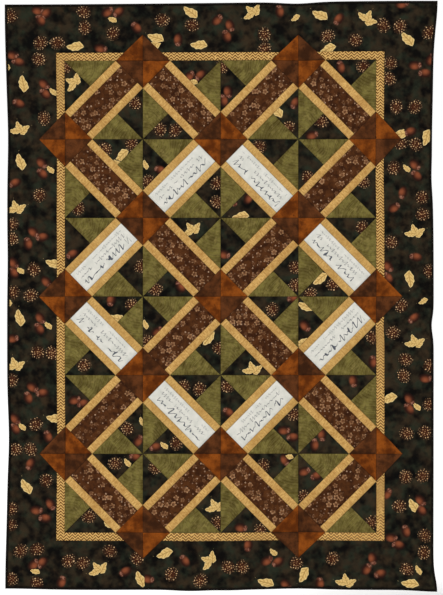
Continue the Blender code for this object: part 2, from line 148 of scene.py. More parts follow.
# Blocks, as (column, row) from the top left, whose centre strip is white.
WHITE_STRIP_BLOCKS = ((1, 1), (2, 1), (0, 2), (3, 2), (0, 3), (3, 3), (1, 4), (2, 4))
TOP_POINT_COLUMNS = (("left", 1), ("right", 3))
SIDE_POINT_ROWS = (("upper", 1), ("middle", 3), ("lower", 5))

# Slow bulges of the quilt's outline: where along the edge (0 to 1 from the left
# or the top), how wide they are in that measure, and how far they push outwards.
EDGE_BULGES = {
    "left": (
        (0.0, 0.14, 0.0090), (0.23, 0.06, -0.0025), (0.50, 0.50, 0.0028), (0.44, 0.05, -0.0015),
        (0.74, 0.06, -0.0045), (1.0, 0.12, 0.0075),
    ),
    "right": (
        (0.0, 0.06, 0.0125), (0.25, 0.10, -0.0045), (0.30, 0.03, -0.0025), (0.50, 0.60, 0.0015),
        (0.55, 0.02, -0.0060), (1.0, 0.03, 0.0110),
    ),
    "top": ((0.0, 0.40, -0.0030), (0.50, 0.60, 0.0014), (0.68, 0.05, -0.0048), (1.0, 0.40, 0.0078)),
    "bottom": (
        (0.0, 0.08, -0.0025), (0.43, 0.05, 0.0040), (0.50, 0.60, 0.0014), (0.52, 0.04, 0.0020),
        (0.68, 0.07, -0.0028), (1.0, 0.06, 0.0060),
    ),
}

# The dark cotton's print, cut through by the seams: (right of the quilt's left
# edge, down from its top edge, turn), in centimetres and degrees.
FIELD_PLACES = {
    "cone": (
        (16.9, 18.6), (62.7, 18.7), (103.9, 18.7), (37.2, 29.2), (44.5, 36.8), (48.9, 37.1), (82.0, 36.2),
        (91.6, 34.5), (28.5, 42.6), (36.1, 41.0), (41.0, 52.0), (73.5, 41.8), (87.8, 50.8), (20.6, 59.9),
        (61.2, 52.6), (61.2, 58.1), (103.9, 52.0), (103.6, 65.5), (39.0, 76.9), (43.1, 83.6), (84.0, 77.2),
        (84.0, 82.4), (88.4, 85.1), (95.1, 82.1), (36.4, 88.3), (41.0, 98.8), (77.3, 89.5), (22.3, 105.8),
        (61.8, 100.9), (106.6, 97.6), (56.0, 112.8), (51.3, 112.0), (64.1, 112.0), (34.9, 124.3),
        (49.2, 128.6), (83.7, 120.2), (31.4, 134.5), (43.1, 135.7), (74.7, 135.1), (86.4, 144.1),
        (23.8, 150.0), (61.5, 151.7), (73.8, 154.1), (106.3, 151.7),
    ),
    "acorn": (
        (53.0, 21.2), (56.2, 21.2), (64.4, 26.0), (63.0, 28.3), (97.2, 18.8), (84.0, 29.2), (89.0, 38.5),
        (44.5, 48.8), (65.9, 57.6), (70.3, 56.7), (18.8, 73.4), (63.3, 73.4), (50.4, 82.7), (30.2, 86.8),
        (43.7, 95.9), (83.4, 86.5), (87.0, 94.4), (106.6, 104.7), (19.6, 115.9), (21.9, 117.1),
        (64.4, 119.6), (101.0, 110.5), (38.1, 127.8), (43.1, 129.8), (80.8, 124.8), (83.2, 126.9),
        (91.9, 126.3), (89.6, 128.9), (37.2, 132.7), (81.1, 133.6), (86.7, 136.8), (90.2, 138.3),
        (68.2, 153.2),
    ),
    "leaf": (
        (33.2, 44.6, 120), (78.4, 31.3, 30), (67.9, 62.3, 85), (91.2, 80.6, 115), (31.7, 92.1, 60),
        (87.0, 88.5, 55), (58.6, 98.0, 130), (86.1, 99.3, 80),
    ),
    "small_leaf": (
        (54.2, 22.9, 60), (32.0, 46.6, 40), (40.2, 47.1, 5), (40.2, 93.8, 5), (39.2, 122.2, 10),
        (45.6, 129.2, 35), (34.9, 134.2, 20), (29.3, 152.3, 40), (82.0, 132.6, 70),
    ),
    "leaf_spray": ((20.0, 22.6, 60), (54.2, 66.0, 30), (71.7, 107.0, 10), (60.9, 147.0, 20)),
}
BORDER_PLACES = {
    "cone": (
        (1.6, 3.5), (10.0, 11.4), (14.7, 11.4), (9.4, 16.3), (10.6, 33.6), (9.4, 56.1), (1.3, 64.6),
        (1.3, 68.7), (7.7, 77.8), (1.6, 84.5), (6.8, 85.3), (8.9, 102.0), (13.0, 102.3), (1.3, 110.2),
        (8.0, 123.1), (2.1, 130.4), (6.5, 130.4), (11.2, 139.5), (1.3, 147.9), (1.0, 152.6),
        (22.3, 2.3), (22.6, 7.0), (30.8, 8.7), (45.1, 4.9), (53.9, 6.4), (75.0, 9.3), (75.0, 13.4),
        (93.4, 9.9), (101.6, 11.1), (109.5, 7.0), (114.2, 7.3), (122.6, 9.0),
        (111.8, 17.8), (111.5, 22.2), (113.6, 30.4), (119.1, 30.4), (115.0, 40.9), (119.4, 41.2),
        (113.0, 48.2), (121.2, 56.7), (121.2, 61.7), (112.1, 69.8), (123.2, 78.3), (115.0, 88.3),
        (112.7, 96.2), (116.2, 104.1), (115.6, 108.8), (123.2, 105.8), (123.2, 117.2), (116.5, 125.7),
        (121.8, 125.4), (116.2, 138.3), (121.2, 138.0), (114.4, 146.8), (121.8, 155.3), (121.5, 160.2),
        (4.2, 160.2), (8.9, 159.6), (1.6, 168.4), (8.9, 169.6), (17.9, 162.9), (22.0, 163.5),
        (29.9, 160.0), (37.8, 162.3), (47.8, 166.7), (56.2, 168.4), (64.4, 164.6), (68.5, 164.6),
        (84.3, 163.7), (94.9, 162.3), (116.5, 165.2),
    ),
    "acorn": (
        (9.4, 1.9), (11.5, 3.0), (9.9, 4.6), (2.0, 15.0), (3.4, 17.0), (10.9, 23.6), (10.9, 26.3),
        (3.3, 29.2), (10.0, 46.7), (10.0, 49.7), (2.1, 52.6), (7.7, 66.9), (10.0, 68.4), (5.9, 70.1),
        (1.8, 76.0), (1.6, 78.6), (11.5, 81.5), (9.7, 92.1), (9.2, 95.0), (1.6, 97.9), (7.4, 112.3),
        (10.0, 114.0), (5.9, 115.2), (2.1, 121.6), (1.8, 124.3), (11.5, 126.6), (6.5, 134.8),
        (8.6, 148.2), (10.9, 150.6), (12.7, 146.5),
        (29.3, 2.3), (32.3, 2.6), (27.3, 13.1), (37.5, 7.0), (49.8, 10.8), (61.2, 4.9), (65.0, 6.7),
        (63.9, 9.6), (79.4, 2.3), (96.6, 5.2), (114.7, 0.8),
        (119.1, 18.4), (121.8, 20.7), (123.5, 16.6), (117.7, 37.7), (119.4, 47.3), (119.7, 50.3),
        (115.6, 55.5), (113.0, 59.6), (119.1, 74.2), (111.2, 76.9), (110.9, 80.1), (118.8, 92.1),
        (122.1, 109.6), (117.4, 115.8), (117.1, 118.4), (110.7, 143.3), (120.6, 145.3), (120.6, 147.9),
        (116.2, 154.1), (112.1, 156.1), (113.9, 158.2),
        (8.0, 164.0), (10.3, 163.7), (15.9, 169.0), (34.3, 166.1), (41.0, 168.1), (51.6, 162.6),
        (70.3, 158.5), (75.8, 162.9), (78.8, 163.5), (81.4, 170.2), (91.1, 169.6), (106.6, 162.3),
        (104.8, 165.2), (108.6, 166.7),
    ),
    "leaf": (
        (4.8, 23.3, -5), (3.7, 46.2, 5), (13.3, 76.0, 60), (3.6, 91.8, 0), (13.5, 121.3, 70),
        (5.4, 141.2, 20), (19.7, 12.5, 80), (43.1, 10.0, 60), (42.6, 12.4, 110),
        (53.3, 2.6, 40), (55.7, 12.2, 75),
        (91.1, 3.7, 50), (93.4, 13.7, 100), (116.5, 10.8, 30), (114.7, 38.3, 80), (122.6, 39.4, 150),
        (117.4, 80.7, 175), (111.2, 115.5, 95), (118.6, 146.8, 20), (38.7, 168.1, 10), (45.7, 160.8, 100),
        (75.3, 169.3, 60), (86.4, 167.3, 140), (116.8, 169.3, 75),
    ),
    "small_leaf": (
        (13.3, 25.7, 30), (12.4, 48.5, 30), (3.6, 78.0, 40), (11.8, 94.1, 30), (3.9, 123.7, 30),
        (0.3, 18.1, 0), (0.4, 87.1, 10), (30.5, 4.6, 50), (84.0, 4.3, 110), (116.8, 48.2, 30),
        (121.2, 87.1, 105), (119.4, 117.8, 30), (8.3, 166.1, 60), (77.6, 160.5, 30), (119.7, 165.2, 10),
    ),
    "leaf_spray": (
        (3.6, 36.8, 10), (2.7, 59.9, 10), (2.4, 105.8, 10), (72.0, 2.6, 40), (104.5, 4.9, -30),
        (119.1, 66.9, 10), (119.1, 99.1, 10), (27.0, 165.2, 30), (59.5, 162.3, 60), (98.7, 169.0, 0),
    ),
}
# Rows of pen strokes: height in the strip, reach of the stroke, pitch, nib, depth of
# the ink and seed.
INK_ROWS = (
    (0.0200, 0.0026, 0.0082, 0.00072, 0.50, 1.0),
    (0.0040, 0.0036, 0.0104, 0.00085, 0.65, 4.0),
    (-0.0165, 0.0064, 0.0175, 0.00130, 0.95, 7.0),
)

# The print's motifs: the number that tells the material which one to draw, and
# half its height. Acorns within CLUSTER_REACH centimetres point past each other.
MOTIF_KINDS = {"cone": 1, "acorn": 2, "leaf": 3}
MOTIF_REACH = {"cone": 0.0232, "acorn": 0.0240, "leaf": 0.0255, "small_leaf": 0.0150, "spray_leaf": 0.0190}
GOLDEN_ANGLE = 137.5
CLUSTER_REACH = 4.2
CLUSTER_TWIST = 0.7
SPRAY_LEANS = (-1.25, 0.0, 1.15)
SPRAY_DROP = 0.008
MOTIF_SPREAD = 1.35


# ---------------------------------------------------------------- cloth shape


def smooth_noise(x, z, size, seed):
    """Return smooth noise from -1 to 1 with features of the given size."""
    table = np.random.default_rng(seed).uniform(-1, 1, (64, 64))
    across, up = x / size + 500, z / size + 500
    column, row = np.floor(across).astype(int), np.floor(up).astype(int)
    u, v = across - column, up - row
    u, v = u * u * (3 - 2 * u), v * v * (3 - 2 * v)
    near = table[row % 64, column % 64] * (1 - u) + table[row % 64, (column + 1) % 64] * u
    far = table[(row + 1) % 64, column % 64] * (1 - u) + table[(row + 1) % 64, (column + 1) % 64] * u
    return near * (1 - v) + far * v


def smooth_step(value, low, high):
    """Return 0 below low, 1 above high and a smooth rise between them."""
    t = np.clip((value - low) / (high - low), 0, 1)
    return t * t * (3 - 2 * t)


def edge_bulge(side, along):
    """Return how far an edge is pushed outwards at a place along it."""
    total = np.zeros_like(along)
    for centre, width, push in EDGE_BULGES[side]:
        total += push * np.exp(-(((along - centre) / width) ** 2))
    return total


def hang(x, z):
    """Return where points of the true-cut quilt hang: x, z and the offset in y."""
    u = (x - CENTRE_X) / HALF_W
    w = (z - CENTRE_Z) / HALF_H
    along_side = (1 - w) / 2
    along_top = (1 + u) / 2
    reach_x = np.clip(np.abs(u), 0, 1) ** 4
    reach_z = np.clip(np.abs(w), 0, 1) ** 4
    push_x = np.where(u < 0, -edge_bulge("left", along_side), edge_bulge("right", along_side))
    push_z = np.where(w > 0, edge_bulge("top", along_top), -edge_bulge("bottom", along_top))
    drop = np.clip(along_side, 0, 1)
    folds = sum(depth * np.sin(across * u + up * w + phase) for depth, across, up, phase in FOLDS)
    ripple = RIPPLE * smooth_noise(x, z, 0.16, SEED + 1)
    curl = -SIDE_CURL * np.abs(u) ** 8 * drop
    return x + push_x * reach_x, z + push_z * reach_z, drop * (folds + ripple) + curl


def valley(distance, width=VALLEY):
    """Return 1 on a stitched line, falling to 0 away from it."""
    return np.exp(-((distance / width) ** 2))


def meander(x, z):
    """Return 1 on the wandering quilting lines of the borders."""
    wander = smooth_noise(x, z, MEANDER_SIZE, SEED + 2)
    wander += 0.35 * smooth_noise(x, z, MEANDER_SIZE / 2, SEED + 3)
    return valley(wander * MEANDER_SIZE * 0.45, MEANDER_WIDTH)


# The patchwork of one block, in unit coordinates (a, b) with the band running
# from the lower left to the upper right. s = a - b and t = a + b.


def block_distance(a, b):
    """Return each point's distance from the nearest seam of its block."""
    s, t = np.abs(a - b), a + b
    in_band = s < CORNER_LEG
    on_strip = in_band & (np.abs(t - 1) < 1 - CORNER_LEG)
    sides = np.minimum(np.abs(s - CENTRE_EDGE), np.abs(s - CORNER_LEG))
    ends = np.abs(1 - np.abs(t - 1) - CORNER_LEG)
    diagonal = np.where(on_strip, np.minimum(sides, ends), ends)
    medians = np.minimum(np.abs(t - 1), np.abs(s - CORNER_LEG))
    diagonal = np.where(in_band, diagonal, medians)
    edges = np.minimum(np.minimum(a, 1 - a), np.minimum(b, 1 - b))
    return BLOCK_W * np.minimum(diagonal / math.sqrt(2), edges)


def block_patch(a, b):
    """Return which of the nine patches each point of a block lies in.

    0 low corner, 1 high corner, 2 gold strips, 3 centre strip, 4 triangles
    that lie along the level edges, 5 triangles that lie along the upright ones.
    """
    s, t = a - b, a + b
    patch = np.where(np.abs(s) < CENTRE_EDGE, 3, 2)
    patch = np.where(t < CORNER_LEG, 0, patch)
    patch = np.where(t > 2 - CORNER_LEG, 1, patch)
    patch = np.where(s > CORNER_LEG, np.where(t < 1, 4, 5), patch)
    return np.where(s < -CORNER_LEG, np.where(t > 1, 4, 5), patch)


def echo_lines(a, b):
    """Return 1 on the curved lines that echo round a pinwheel's centre."""
    first = np.hypot((1 - a) * BLOCK_W, b * BLOCK_H)
    second = np.hypot(a * BLOCK_W, (1 - b) * BLOCK_H)
    radius = np.minimum(first, second)
    wobble = 0.009 * smooth_noise(a * BLOCK_W, b * BLOCK_H, 0.034, SEED + 4)
    phase = (radius + wobble) / ECHO_SPACING
    return valley((phase - np.round(phase)) * ECHO_SPACING, ECHO_WIDTH)


def block_unit(x, z):
    """Return each point's place in its block, mirrored where the band is."""
    across = np.clip((x - FIELD_LEFT) / BLOCK_W, 0, COLUMNS - 1e-6)
    down = np.clip((FIELD_TOP - z) / BLOCK_H, 0, ROWS - 1e-6)
    column, row = np.floor(across).astype(int), np.floor(down).astype(int)
    a, b = across - column, 1 - (down - row)
    return np.where((column + row) % 2 == 1, 1 - a, a), b


def point_list():
    """Return the points' names, base centres and outward directions."""
    made = []
    for side, column in TOP_POINT_COLUMNS:
        x = FIELD_LEFT + column * BLOCK_W
        made.append((f"point_top_{side}", (x, FIELD_TOP), (0, 1)))
        made.append((f"point_bottom_{side}", (x, FIELD_BOTTOM), (0, -1)))
    for level, row in SIDE_POINT_ROWS:
        z = FIELD_TOP - row * BLOCK_H
        made.append((f"point_left_{level}", (FIELD_LEFT, z), (-1, 0)))
        made.append((f"point_right_{level}", (FIELD_RIGHT, z), (1, 0)))
    return made


def point_inset(x, z):
    """Return how far inside the nearest point each place is; negative is outside."""
    best = np.full_like(x, -1.0)
    for _, (base_x, base_z), (out_x, out_z) in point_list():
        outward = ((x - base_x) * out_x + (z - base_z) * out_z)
        sideways = np.abs((x - base_x) * out_z + (z - base_z) * out_x)
        half_side = CORNER_LEG * (BLOCK_W if out_z else BLOCK_H)
        inset = (1 - sideways / half_side - outward / POINT_REACH) * POINT_REACH / math.sqrt(2)
        best = np.maximum(best, np.where(outward > -0.002, inset, -1.0))
    return best


def frame_gap(x, z):
    """Return the distance from the nearest seam that runs right round the borders."""
    out_x, out_z = np.abs(x - CENTRE_X) - FIELD_RIGHT, np.abs(z - CENTRE_Z) - (FIELD_TOP - CENTRE_Z)
    outward = np.maximum(out_x, out_z)
    binding = np.abs(outward - (HALF_W - FIELD_RIGHT) + BINDING_W)
    return np.minimum(np.minimum(np.abs(outward), np.abs(outward - NARROW_W)), binding)


def border_relief(x, z, quilted):
    """Return a border strip's relief: seams at its edges, tucked under the points."""
    inset = point_inset(x, z)
    stitched = valley(np.minimum(frame_gap(x, z), np.abs(inset)))
    relief = SEAM_DEPTH * stitched - PUFF * (1 - stitched)
    if quilted:
        relief = relief + MEANDER_DEPTH * meander(x, z) * (1 - stitched)
        relief = relief + 2 * CRUMPLE * smooth_noise(x, z, 0.02, SEED + 5)
    covered = smooth_step(inset, -TUCK_EDGE, TUCK_EDGE)
    return relief * (1 - covered) + TUCK_DEPTH * covered


# ---------------------------------------------------------------- mesh making


def cell_grid(columns, rows):
    """Return points over a unit square and the triangles between them, four to a cell."""
    across, up = np.meshgrid(np.arange(columns + 1) / columns, np.arange(rows + 1) / rows)
    mid_across, mid_up = np.meshgrid((np.arange(columns) + 0.5) / columns, (np.arange(rows) + 0.5) / rows)
    points = np.column_stack([np.append(across, mid_across), np.append(up, mid_up)])
    first = (np.arange(rows)[:, None] * (columns + 1) + np.arange(columns)).ravel()
    corners = (first, first + 1, first + columns + 2, first + columns + 1)
    centre = (rows + 1) * (columns + 1) + np.arange(rows * columns)
    sides = [np.column_stack([corners[k], corners[(k + 1) % 4], centre]) for k in range(4)]
    return points, np.concatenate(sides)


def coarse_cover(columns, rows, step, first):
    """Return the faces that close a cell grid behind with coarse quads and a rim."""
    wide, tall = columns // step, rows // step

    def fine(i, j):
        return j * (columns + 1) + i

    def coarse(i, j):
        return first + j * (wide + 1) + i

    faces = []
    for j in range(tall):
        for i in range(wide):
            faces.append((coarse(i, j), coarse(i, j + 1), coarse(i + 1, j + 1), coarse(i + 1, j)))
    run = range(step + 1)
    for i in range(wide):
        low = [fine((i + 1) * step - k, 0) for k in run]
        high = [fine(i * step + k, rows) for k in run]
        faces.append((*low, coarse(i, 0), coarse(i + 1, 0)))
        faces.append((*high, coarse(i + 1, tall), coarse(i, tall)))
    for j in range(tall):
        right = [fine(columns, (j + 1) * step - k) for k in run]
        left = [fine(0, j * step + k) for k in run]
        faces.append((*right, coarse(wide, j), coarse(wide, j + 1)))
        faces.append((*left, coarse(0, j + 1), coarse(0, j)))
    return faces


def make_mesh(name, points, faces, materials):
    """Make an object from points and faces, smooth but for its sharp rims."""
    mesh = bpy.data.meshes.new(name)
    mesh.from_pydata(points.tolist(), [], faces)
    for material in materials:
        mesh.materials.append(material)
    mesh.shade_smooth()
    mesh.set_sharp_from_angle(angle=math.radians(SHARP_ANGLE))
    made = bpy.data.objects.new(name, mesh)
    bpy.context.scene.collection.objects.link(made)
    return made


def cloth_rectangle(name, low, high, cell, step, front, back_y, materials, facing=-1):
    """Make a rectangular layer, fine on the side that shows and coarse behind.

    front(x, z) gives the fine side's y before hanging and back_y the other's.
    facing is -1 if the fine side looks to the room and 1 if it looks to the wall.
    """
    columns = max(step, round((high.x - low.x) / cell / step) * step)
    rows = max(step, round((high.z - low.z) / cell / step) * step)
    unit, triangles = cell_grid(columns, rows)
    x, z = low.x + unit[:, 0] * (high.x - low.x), low.z + unit[:, 1] * (high.z - low.z)
    shown = hung_points(x, front(x, z), z)
    wide = np.linspace(low.x, high.x, columns // step + 1)
    tall = np.linspace(low.z, high.z, rows // step + 1)
    wide, tall = (places.ravel() for places in np.meshgrid(wide, tall))
    hidden = hung_points(wide, np.full_like(wide, back_y), tall)
    faces = triangles.tolist() + coarse_cover(columns, rows, step, len(shown))
    if facing > 0:
        faces = [tuple(reversed(face)) for face in faces]
    made = make_mesh(name, np.concatenate([shown, hidden]), faces, materials)
    return made, x, z, triangles


def hung_points(x, y, z):
    """Return points of the true-cut quilt as they hang."""
    hung_x, hung_z, offset = hang(x, z)
    return np.column_stack([hung_x, y + offset, hung_z])


def store(mesh, name, kind, domain, values):
    """Store an attribute; values shorter than the domain are padded with zeros."""
    attribute = mesh.attributes.new(name, kind, domain)
    width = 3 if kind == "FLOAT_VECTOR" else 1
    padded = np.zeros(len(attribute.data) * width)
    padded[: values.size] = values.ravel()
    attribute.data.foreach_set("vector" if width == 3 else "value", padded)


def store_gap(made, gap=()):
    """Store how far each point is from a seam; the points left over are far from one."""
    values = np.full(len(made.data.vertices), FAR_FROM_SEAM)
    values[: len(gap)] = gap
    store(made.data, "seam_gap", "FLOAT", "POINT", values)


# ---------------------------------------------------------------- print layout


def print_motifs(layout):
    """Return a layout's motifs as (x, z, turn in radians, reach, kind) rows."""
    rows = []
    for kind, places in layout.items():
        for number, place in enumerate(places):
            x, z = QUILT_LEFT + place[0] / 100, QUILT_TOP - place[1] / 100
            turn = math.radians(place[2] if len(place) == 3 else number * GOLDEN_ANGLE)
            if kind == "acorn":
                turn = cluster_turn(place, places, turn)
            if kind == "leaf_spray":
                rows += spray(x, z, turn)
            else:
                shape = "leaf" if kind == "small_leaf" else kind
                rows.append((x, z, turn, MOTIF_REACH[kind], MOTIF_KINDS[shape]))
    return np.array(rows)


def cluster_turn(place, places, alone):
    """Return the turn of an acorn whose cup points past the others of its cluster."""
    near = [other for other in places if 0 < math.dist(place, other) < CLUSTER_REACH]
    if not near:
        return alone
    middle_x = sum(other[0] for other in near) / len(near)
    middle_y = sum(other[1] for other in near) / len(near)
    return math.atan2(middle_x - place[0], middle_y - place[1]) + CLUSTER_TWIST


def spray(x, z, turn):
    """Return three leaves that fan out from one stem."""
    rows = []
    reach = MOTIF_REACH["spray_leaf"]
    for lean in SPRAY_LEANS:
        angle = turn + lean
        middle_x, middle_z = x - math.sin(angle) * reach * 0.8, z + math.cos(angle) * reach * 0.8
        rows.append((middle_x, middle_z - SPRAY_DROP, angle, reach, MOTIF_KINDS["leaf"]))
    return rows


def store_motifs(mesh, x, z, triangles, motifs):
    """Give each triangle the local coordinates of the motif nearest to it."""
    middle_x, middle_z = x[triangles].mean(axis=1), z[triangles].mean(axis=1)
    nearest = np.full(len(triangles), MOTIF_SPREAD)
    chosen = np.full(len(triangles), -1)
    for number, (motif_x, motif_z, _, reach, _) in enumerate(motifs):
        away = np.hypot(middle_x - motif_x, middle_z - motif_z) / reach
        closer = away < nearest
        nearest[closer] = away[closer]
        chosen[closer] = number
    picked = motifs[chosen]
    off_x, off_z = x[triangles] - picked[:, [0]], z[triangles] - picked[:, [1]]
    cosine, sine, reach = np.cos(picked[:, [2]]), np.sin(picked[:, [2]]), picked[:, [3]]
    u = (off_x * cosine + off_z * sine) / reach
    v = (off_z * cosine - off_x * sine) / reach
    kind = np.repeat(np.where(chosen >= 0, picked[:, 4], 0)[:, None], 3, axis=1)
    store(mesh, "motif", "FLOAT_VECTOR", "CORNER", np.stack([u, v, kind], axis=2))


# ------------------------------------------------------------------ materials


def srgb(red, green, blue):
    """Return a linear colour from sRGB values of 0 to 255."""
    linear = []
    for value in (red, green, blue):
        value /= 255
        linear.append(value / 12.92 if value <= 0.04045 else ((value + 0.055) / 1.055) ** 2.4)
    return (*linear, 1.0)


# The calico's buds and flowers: spacing, radius, the share left out, and the
# colours at the rim and nearer the centre.
CALICO_FLOWERS = (
    (0.0110, 0.0019, 0.60, srgb(196, 164, 136), srgb(150, 112, 84)),
    (0.0205, 0.0072, 0.16, srgb(166, 126, 90), srgb(116, 78, 50)),
)
THREAD = 0.0007
SEAM_SHADE_W = 0.0016
HERRINGBONE_W = 0.0170
HERRINGBONE_H = 0.0086


class Wire:
    """A node's output that can be used in sums; each sum adds a Math node."""

    def __init__(self, cloth, socket):
        self.cloth, self.socket = cloth, socket

    def __add__(self, other):
        return self.cloth.math("ADD", self, other)

    def __sub__(self, other):
        return self.cloth.math("SUBTRACT", self, other)

    def __rsub__(self, other):
        return self.cloth.math("SUBTRACT", other, self)

    def __mul__(self, other):
        return self.cloth.math("MULTIPLY", self, other)

    def __truediv__(self, other):
        return self.cloth.math("DIVIDE", self, other)

    def __abs__(self):
        return self.cloth.math("ABSOLUTE", self)

    __radd__, __rmul__ = __add__, __mul__


class Cloth:
    """A material built up one node at a time round a Principled BSDF."""

    def __init__(self, name, roughness=0.9, sheen=0.02):
        self.material = bpy.data.materials.new(name)
        self.material.use_nodes = True
        self.tree = self.material.node_tree
        self.shader = self.tree.nodes["Principled BSDF"]
        self.set("Roughness", roughness)
        self.set("Specular IOR Level", 0.05)
        self.set("Sheen Weight", sheen)
        self.set("Sheen Roughness", 0.5)
        self.place = self.node("ShaderNodeTexCoord", output="Object")
        self.x, self.y, self.z = self.split(self.place)

    def put(self, socket, value):
        """Link a socket to a wire, or set its value."""
        if isinstance(value, Wire):
            self.tree.links.new(value.socket, socket)
        else:
            socket.default_value = value

    def set(self, name, value):
        """Fill one of the shader's inputs."""
        self.put(self.shader.inputs[name], value)

    def add_node(self, kind, inputs, **settings):
        """Add a node, set it up and fill its inputs, given by name or by number."""
        made = self.tree.nodes.new(kind)
        for name, value in settings.items():
            setattr(made, name, value)
        for key, value in inputs.items():
            self.put(made.inputs[key], value)
        return made

    def node(self, kind, *values, output=0, **settings):
        """Add a node, fill its inputs in order and return one of its outputs."""
        made = self.add_node(kind, dict(enumerate(values)), **settings)
        return Wire(self, made.outputs[output])

    def math(self, operation, *values):
        return self.node("ShaderNodeMath", *values, operation=operation)

    def split(self, vector):
        made = self.add_node("ShaderNodeSeparateXYZ", {0: vector})
        return [Wire(self, output) for output in made.outputs]

    def join(self, x, y, z):
        return self.node("ShaderNodeCombineXYZ", x, y, z)

    def attribute(self, name, output="Vector"):
        return self.node("ShaderNodeAttribute", attribute_name=name, output=output)

    def rise(self, value, low, high):
        """Return 0 below low, 1 above high and a smooth rise between."""
        return self.node(
            "ShaderNodeMapRange", value, low, high, 0.0, 1.0,
            interpolation_type="SMOOTHSTEP", output="Result",
        )

    def fall(self, value, low, high):
        """Return 1 below low, 0 above high and a smooth fall between."""
        return 1.0 - self.rise(value, low, high)

    def noise(self, size, detail=2.0, vector=None, seed=0.0):
        """Return noise about 0.5 with features of the given size."""
        inputs = {"Vector": vector or self.place, "W": seed, "Scale": 1 / size, "Detail": detail}
        return Wire(self, self.add_node("ShaderNodeTexNoise", inputs, noise_dimensions="4D").outputs[0])

    def mix(self, factor, a, b):
        """Return colour a turning to colour b."""
        made = self.add_node("ShaderNodeMix", {0: factor, 6: a, 7: b}, data_type="RGBA")
        return Wire(self, made.outputs[2])

    def bump(self, height, distance, strength=1.0, under=None):
        """Return a normal raised by a height from 0 to 1."""
        inputs = {"Strength": strength, "Distance": distance, "Height": height}
        if under is not None:
            inputs["Normal"] = under
        return Wire(self, self.add_node("ShaderNodeBump", inputs).outputs[0])

    def finish(self, colour, crumple=0.0003, puff=None):
        """Link the colour, with seam shade, thread weave and crumples, and return the material."""
        seam = self.rise(self.attribute("seam_gap", "Fac"), 0.0, SEAM_SHADE_W)
        self.set("Base Color", self.mix(seam, self.mix(0.55, colour, srgb(8, 6, 4)), colour))
        pitch = math.tau / THREAD
        weave = self.math("SINE", self.x * pitch) * self.math("SINE", self.z * pitch)
        normal = self.bump(weave, 0.00012, 0.5)
        normal = self.bump(self.noise(0.011, 3.0), crumple * 4, 0.6, normal)
        if puff is not None:
            normal = self.bump(puff, 0.0035, 1.0, normal)
        self.set("Normal", normal)
        return self.material


def mottled(name, dark, light, size, speck=None):
    """Make a dyed cotton that drifts between two colours, with darker specks."""
    cloth = Cloth(name)
    drift = cloth.rise(cloth.noise(size, 4.0), 0.34, 0.66)
    colour = cloth.mix(drift, dark, light)
    if speck:
        specks = cloth.rise(cloth.noise(size * 0.22, 2.0, seed=3.0), 0.60, 0.78)
        colour = cloth.mix(specks, colour, speck)
    fine = cloth.rise(cloth.noise(0.0032, 2.0, seed=5.0), 0.3, 0.7)
    return cloth.finish(cloth.mix(fine * 0.3, colour, dark))


def quilted_green(name):
    """Make the olive cotton, with painted highlight beside its quilting lines and painted shade in them.
    """
    cloth = Cloth(name)
    drift = cloth.rise(cloth.noise(0.024, 4.0), 0.32, 0.68)
    patches = cloth.rise(cloth.noise(0.0095, 2.0, seed=3.0), 0.44, 0.70)
    pale = cloth.rise(cloth.noise(0.0120, 2.0, seed=7.0), 0.52, 0.74)
    stitched = cloth.attribute("stitch", "Fac")
    painted_ridge_highlight = cloth.rise(stitched, 0.12, 0.4) * cloth.fall(stitched, 0.55, 0.85)
    colour = cloth.mix(drift, srgb(72, 62, 24), srgb(110, 100, 49))
    colour = cloth.mix(patches * 0.6, colour, srgb(66, 54, 20))
    colour = cloth.mix(pale * 0.35, colour, srgb(142, 126, 72))
    # Painted highlight on the ridges beside the quilting lines, then painted shade in the lines
    # themselves.
    colour = cloth.mix(painted_ridge_highlight * 0.20, colour, srgb(148, 134, 84))
    colour = cloth.mix(cloth.rise(stitched, 0.6, 0.95) * 0.30, colour, srgb(62, 52, 22))
    return cloth.finish(colour, crumple=0.0005)


def stitched_gap(cloth):
    """Return the distance from the nearest seam, worked out from a point's place."""
    across = cloth.math("PINGPONG", (cloth.x - FIELD_LEFT) / BLOCK_W, 1.0)
    down = cloth.math("PINGPONG", (FIELD_TOP - cloth.z) / BLOCK_H, 1.0)
    off_band, off_median = abs(across + down - 1.0), abs(across - down)
    past_ends = cloth.math("GREATER_THAN", off_median, 1 - CORNER_LEG)
    beside_band = cloth.math("GREATER_THAN", off_band, CORNER_LEG)
    strip_side = abs(off_band - CENTRE_EDGE) + past_ends
    strip_end = abs(off_median - (1 - CORNER_LEG)) + beside_band
    diagonal = cloth.math("MINIMUM", strip_side, strip_end)
    diagonal = cloth.math("MINIMUM", diagonal, abs(off_band - CORNER_LEG))
    out_x = abs(cloth.x - CENTRE_X) - (FIELD_RIGHT - CENTRE_X)
    out_z = abs(cloth.z - CENTRE_Z) - (FIELD_TOP - CENTRE_Z)
    outward = cloth.math("MAXIMUM", out_x, out_z)
    outside = cloth.math("GREATER_THAN", outward, 0.0)
    rings = cloth.math("MINIMUM", abs(outward), abs(outward - NARROW_W))
    return cloth.math("MINIMUM", diagonal * (BLOCK_W / math.sqrt(2)) + outside, rings)


def stitched_backing(name):
    """Make the backing cotton, dimpled where the quilting stitches come through, with painted shade in the
    dimples.
    """
    cloth = Cloth(name)
    gap = stitched_gap(cloth)
    thread = cloth.fall(gap, 0.0006, 0.0016) * cloth.rise(cloth.noise(0.003), 0.35, 0.5)
    hollow = cloth.fall(gap, 0.0, 0.011)
    drift = cloth.rise(cloth.noise(0.09, 3.0), 0.3, 0.7)
    colour = cloth.mix(drift, srgb(180, 160, 126), srgb(187, 167, 133))
    # Painted shade: the cloth is darker in the hollows round the stitches.
    colour = cloth.mix(hollow * 0.30, colour, srgb(150, 130, 98))
    colour = cloth.mix(thread * 0.55, colour, srgb(112, 92, 64))
    return cloth.finish(colour, puff=1.0 - hollow)


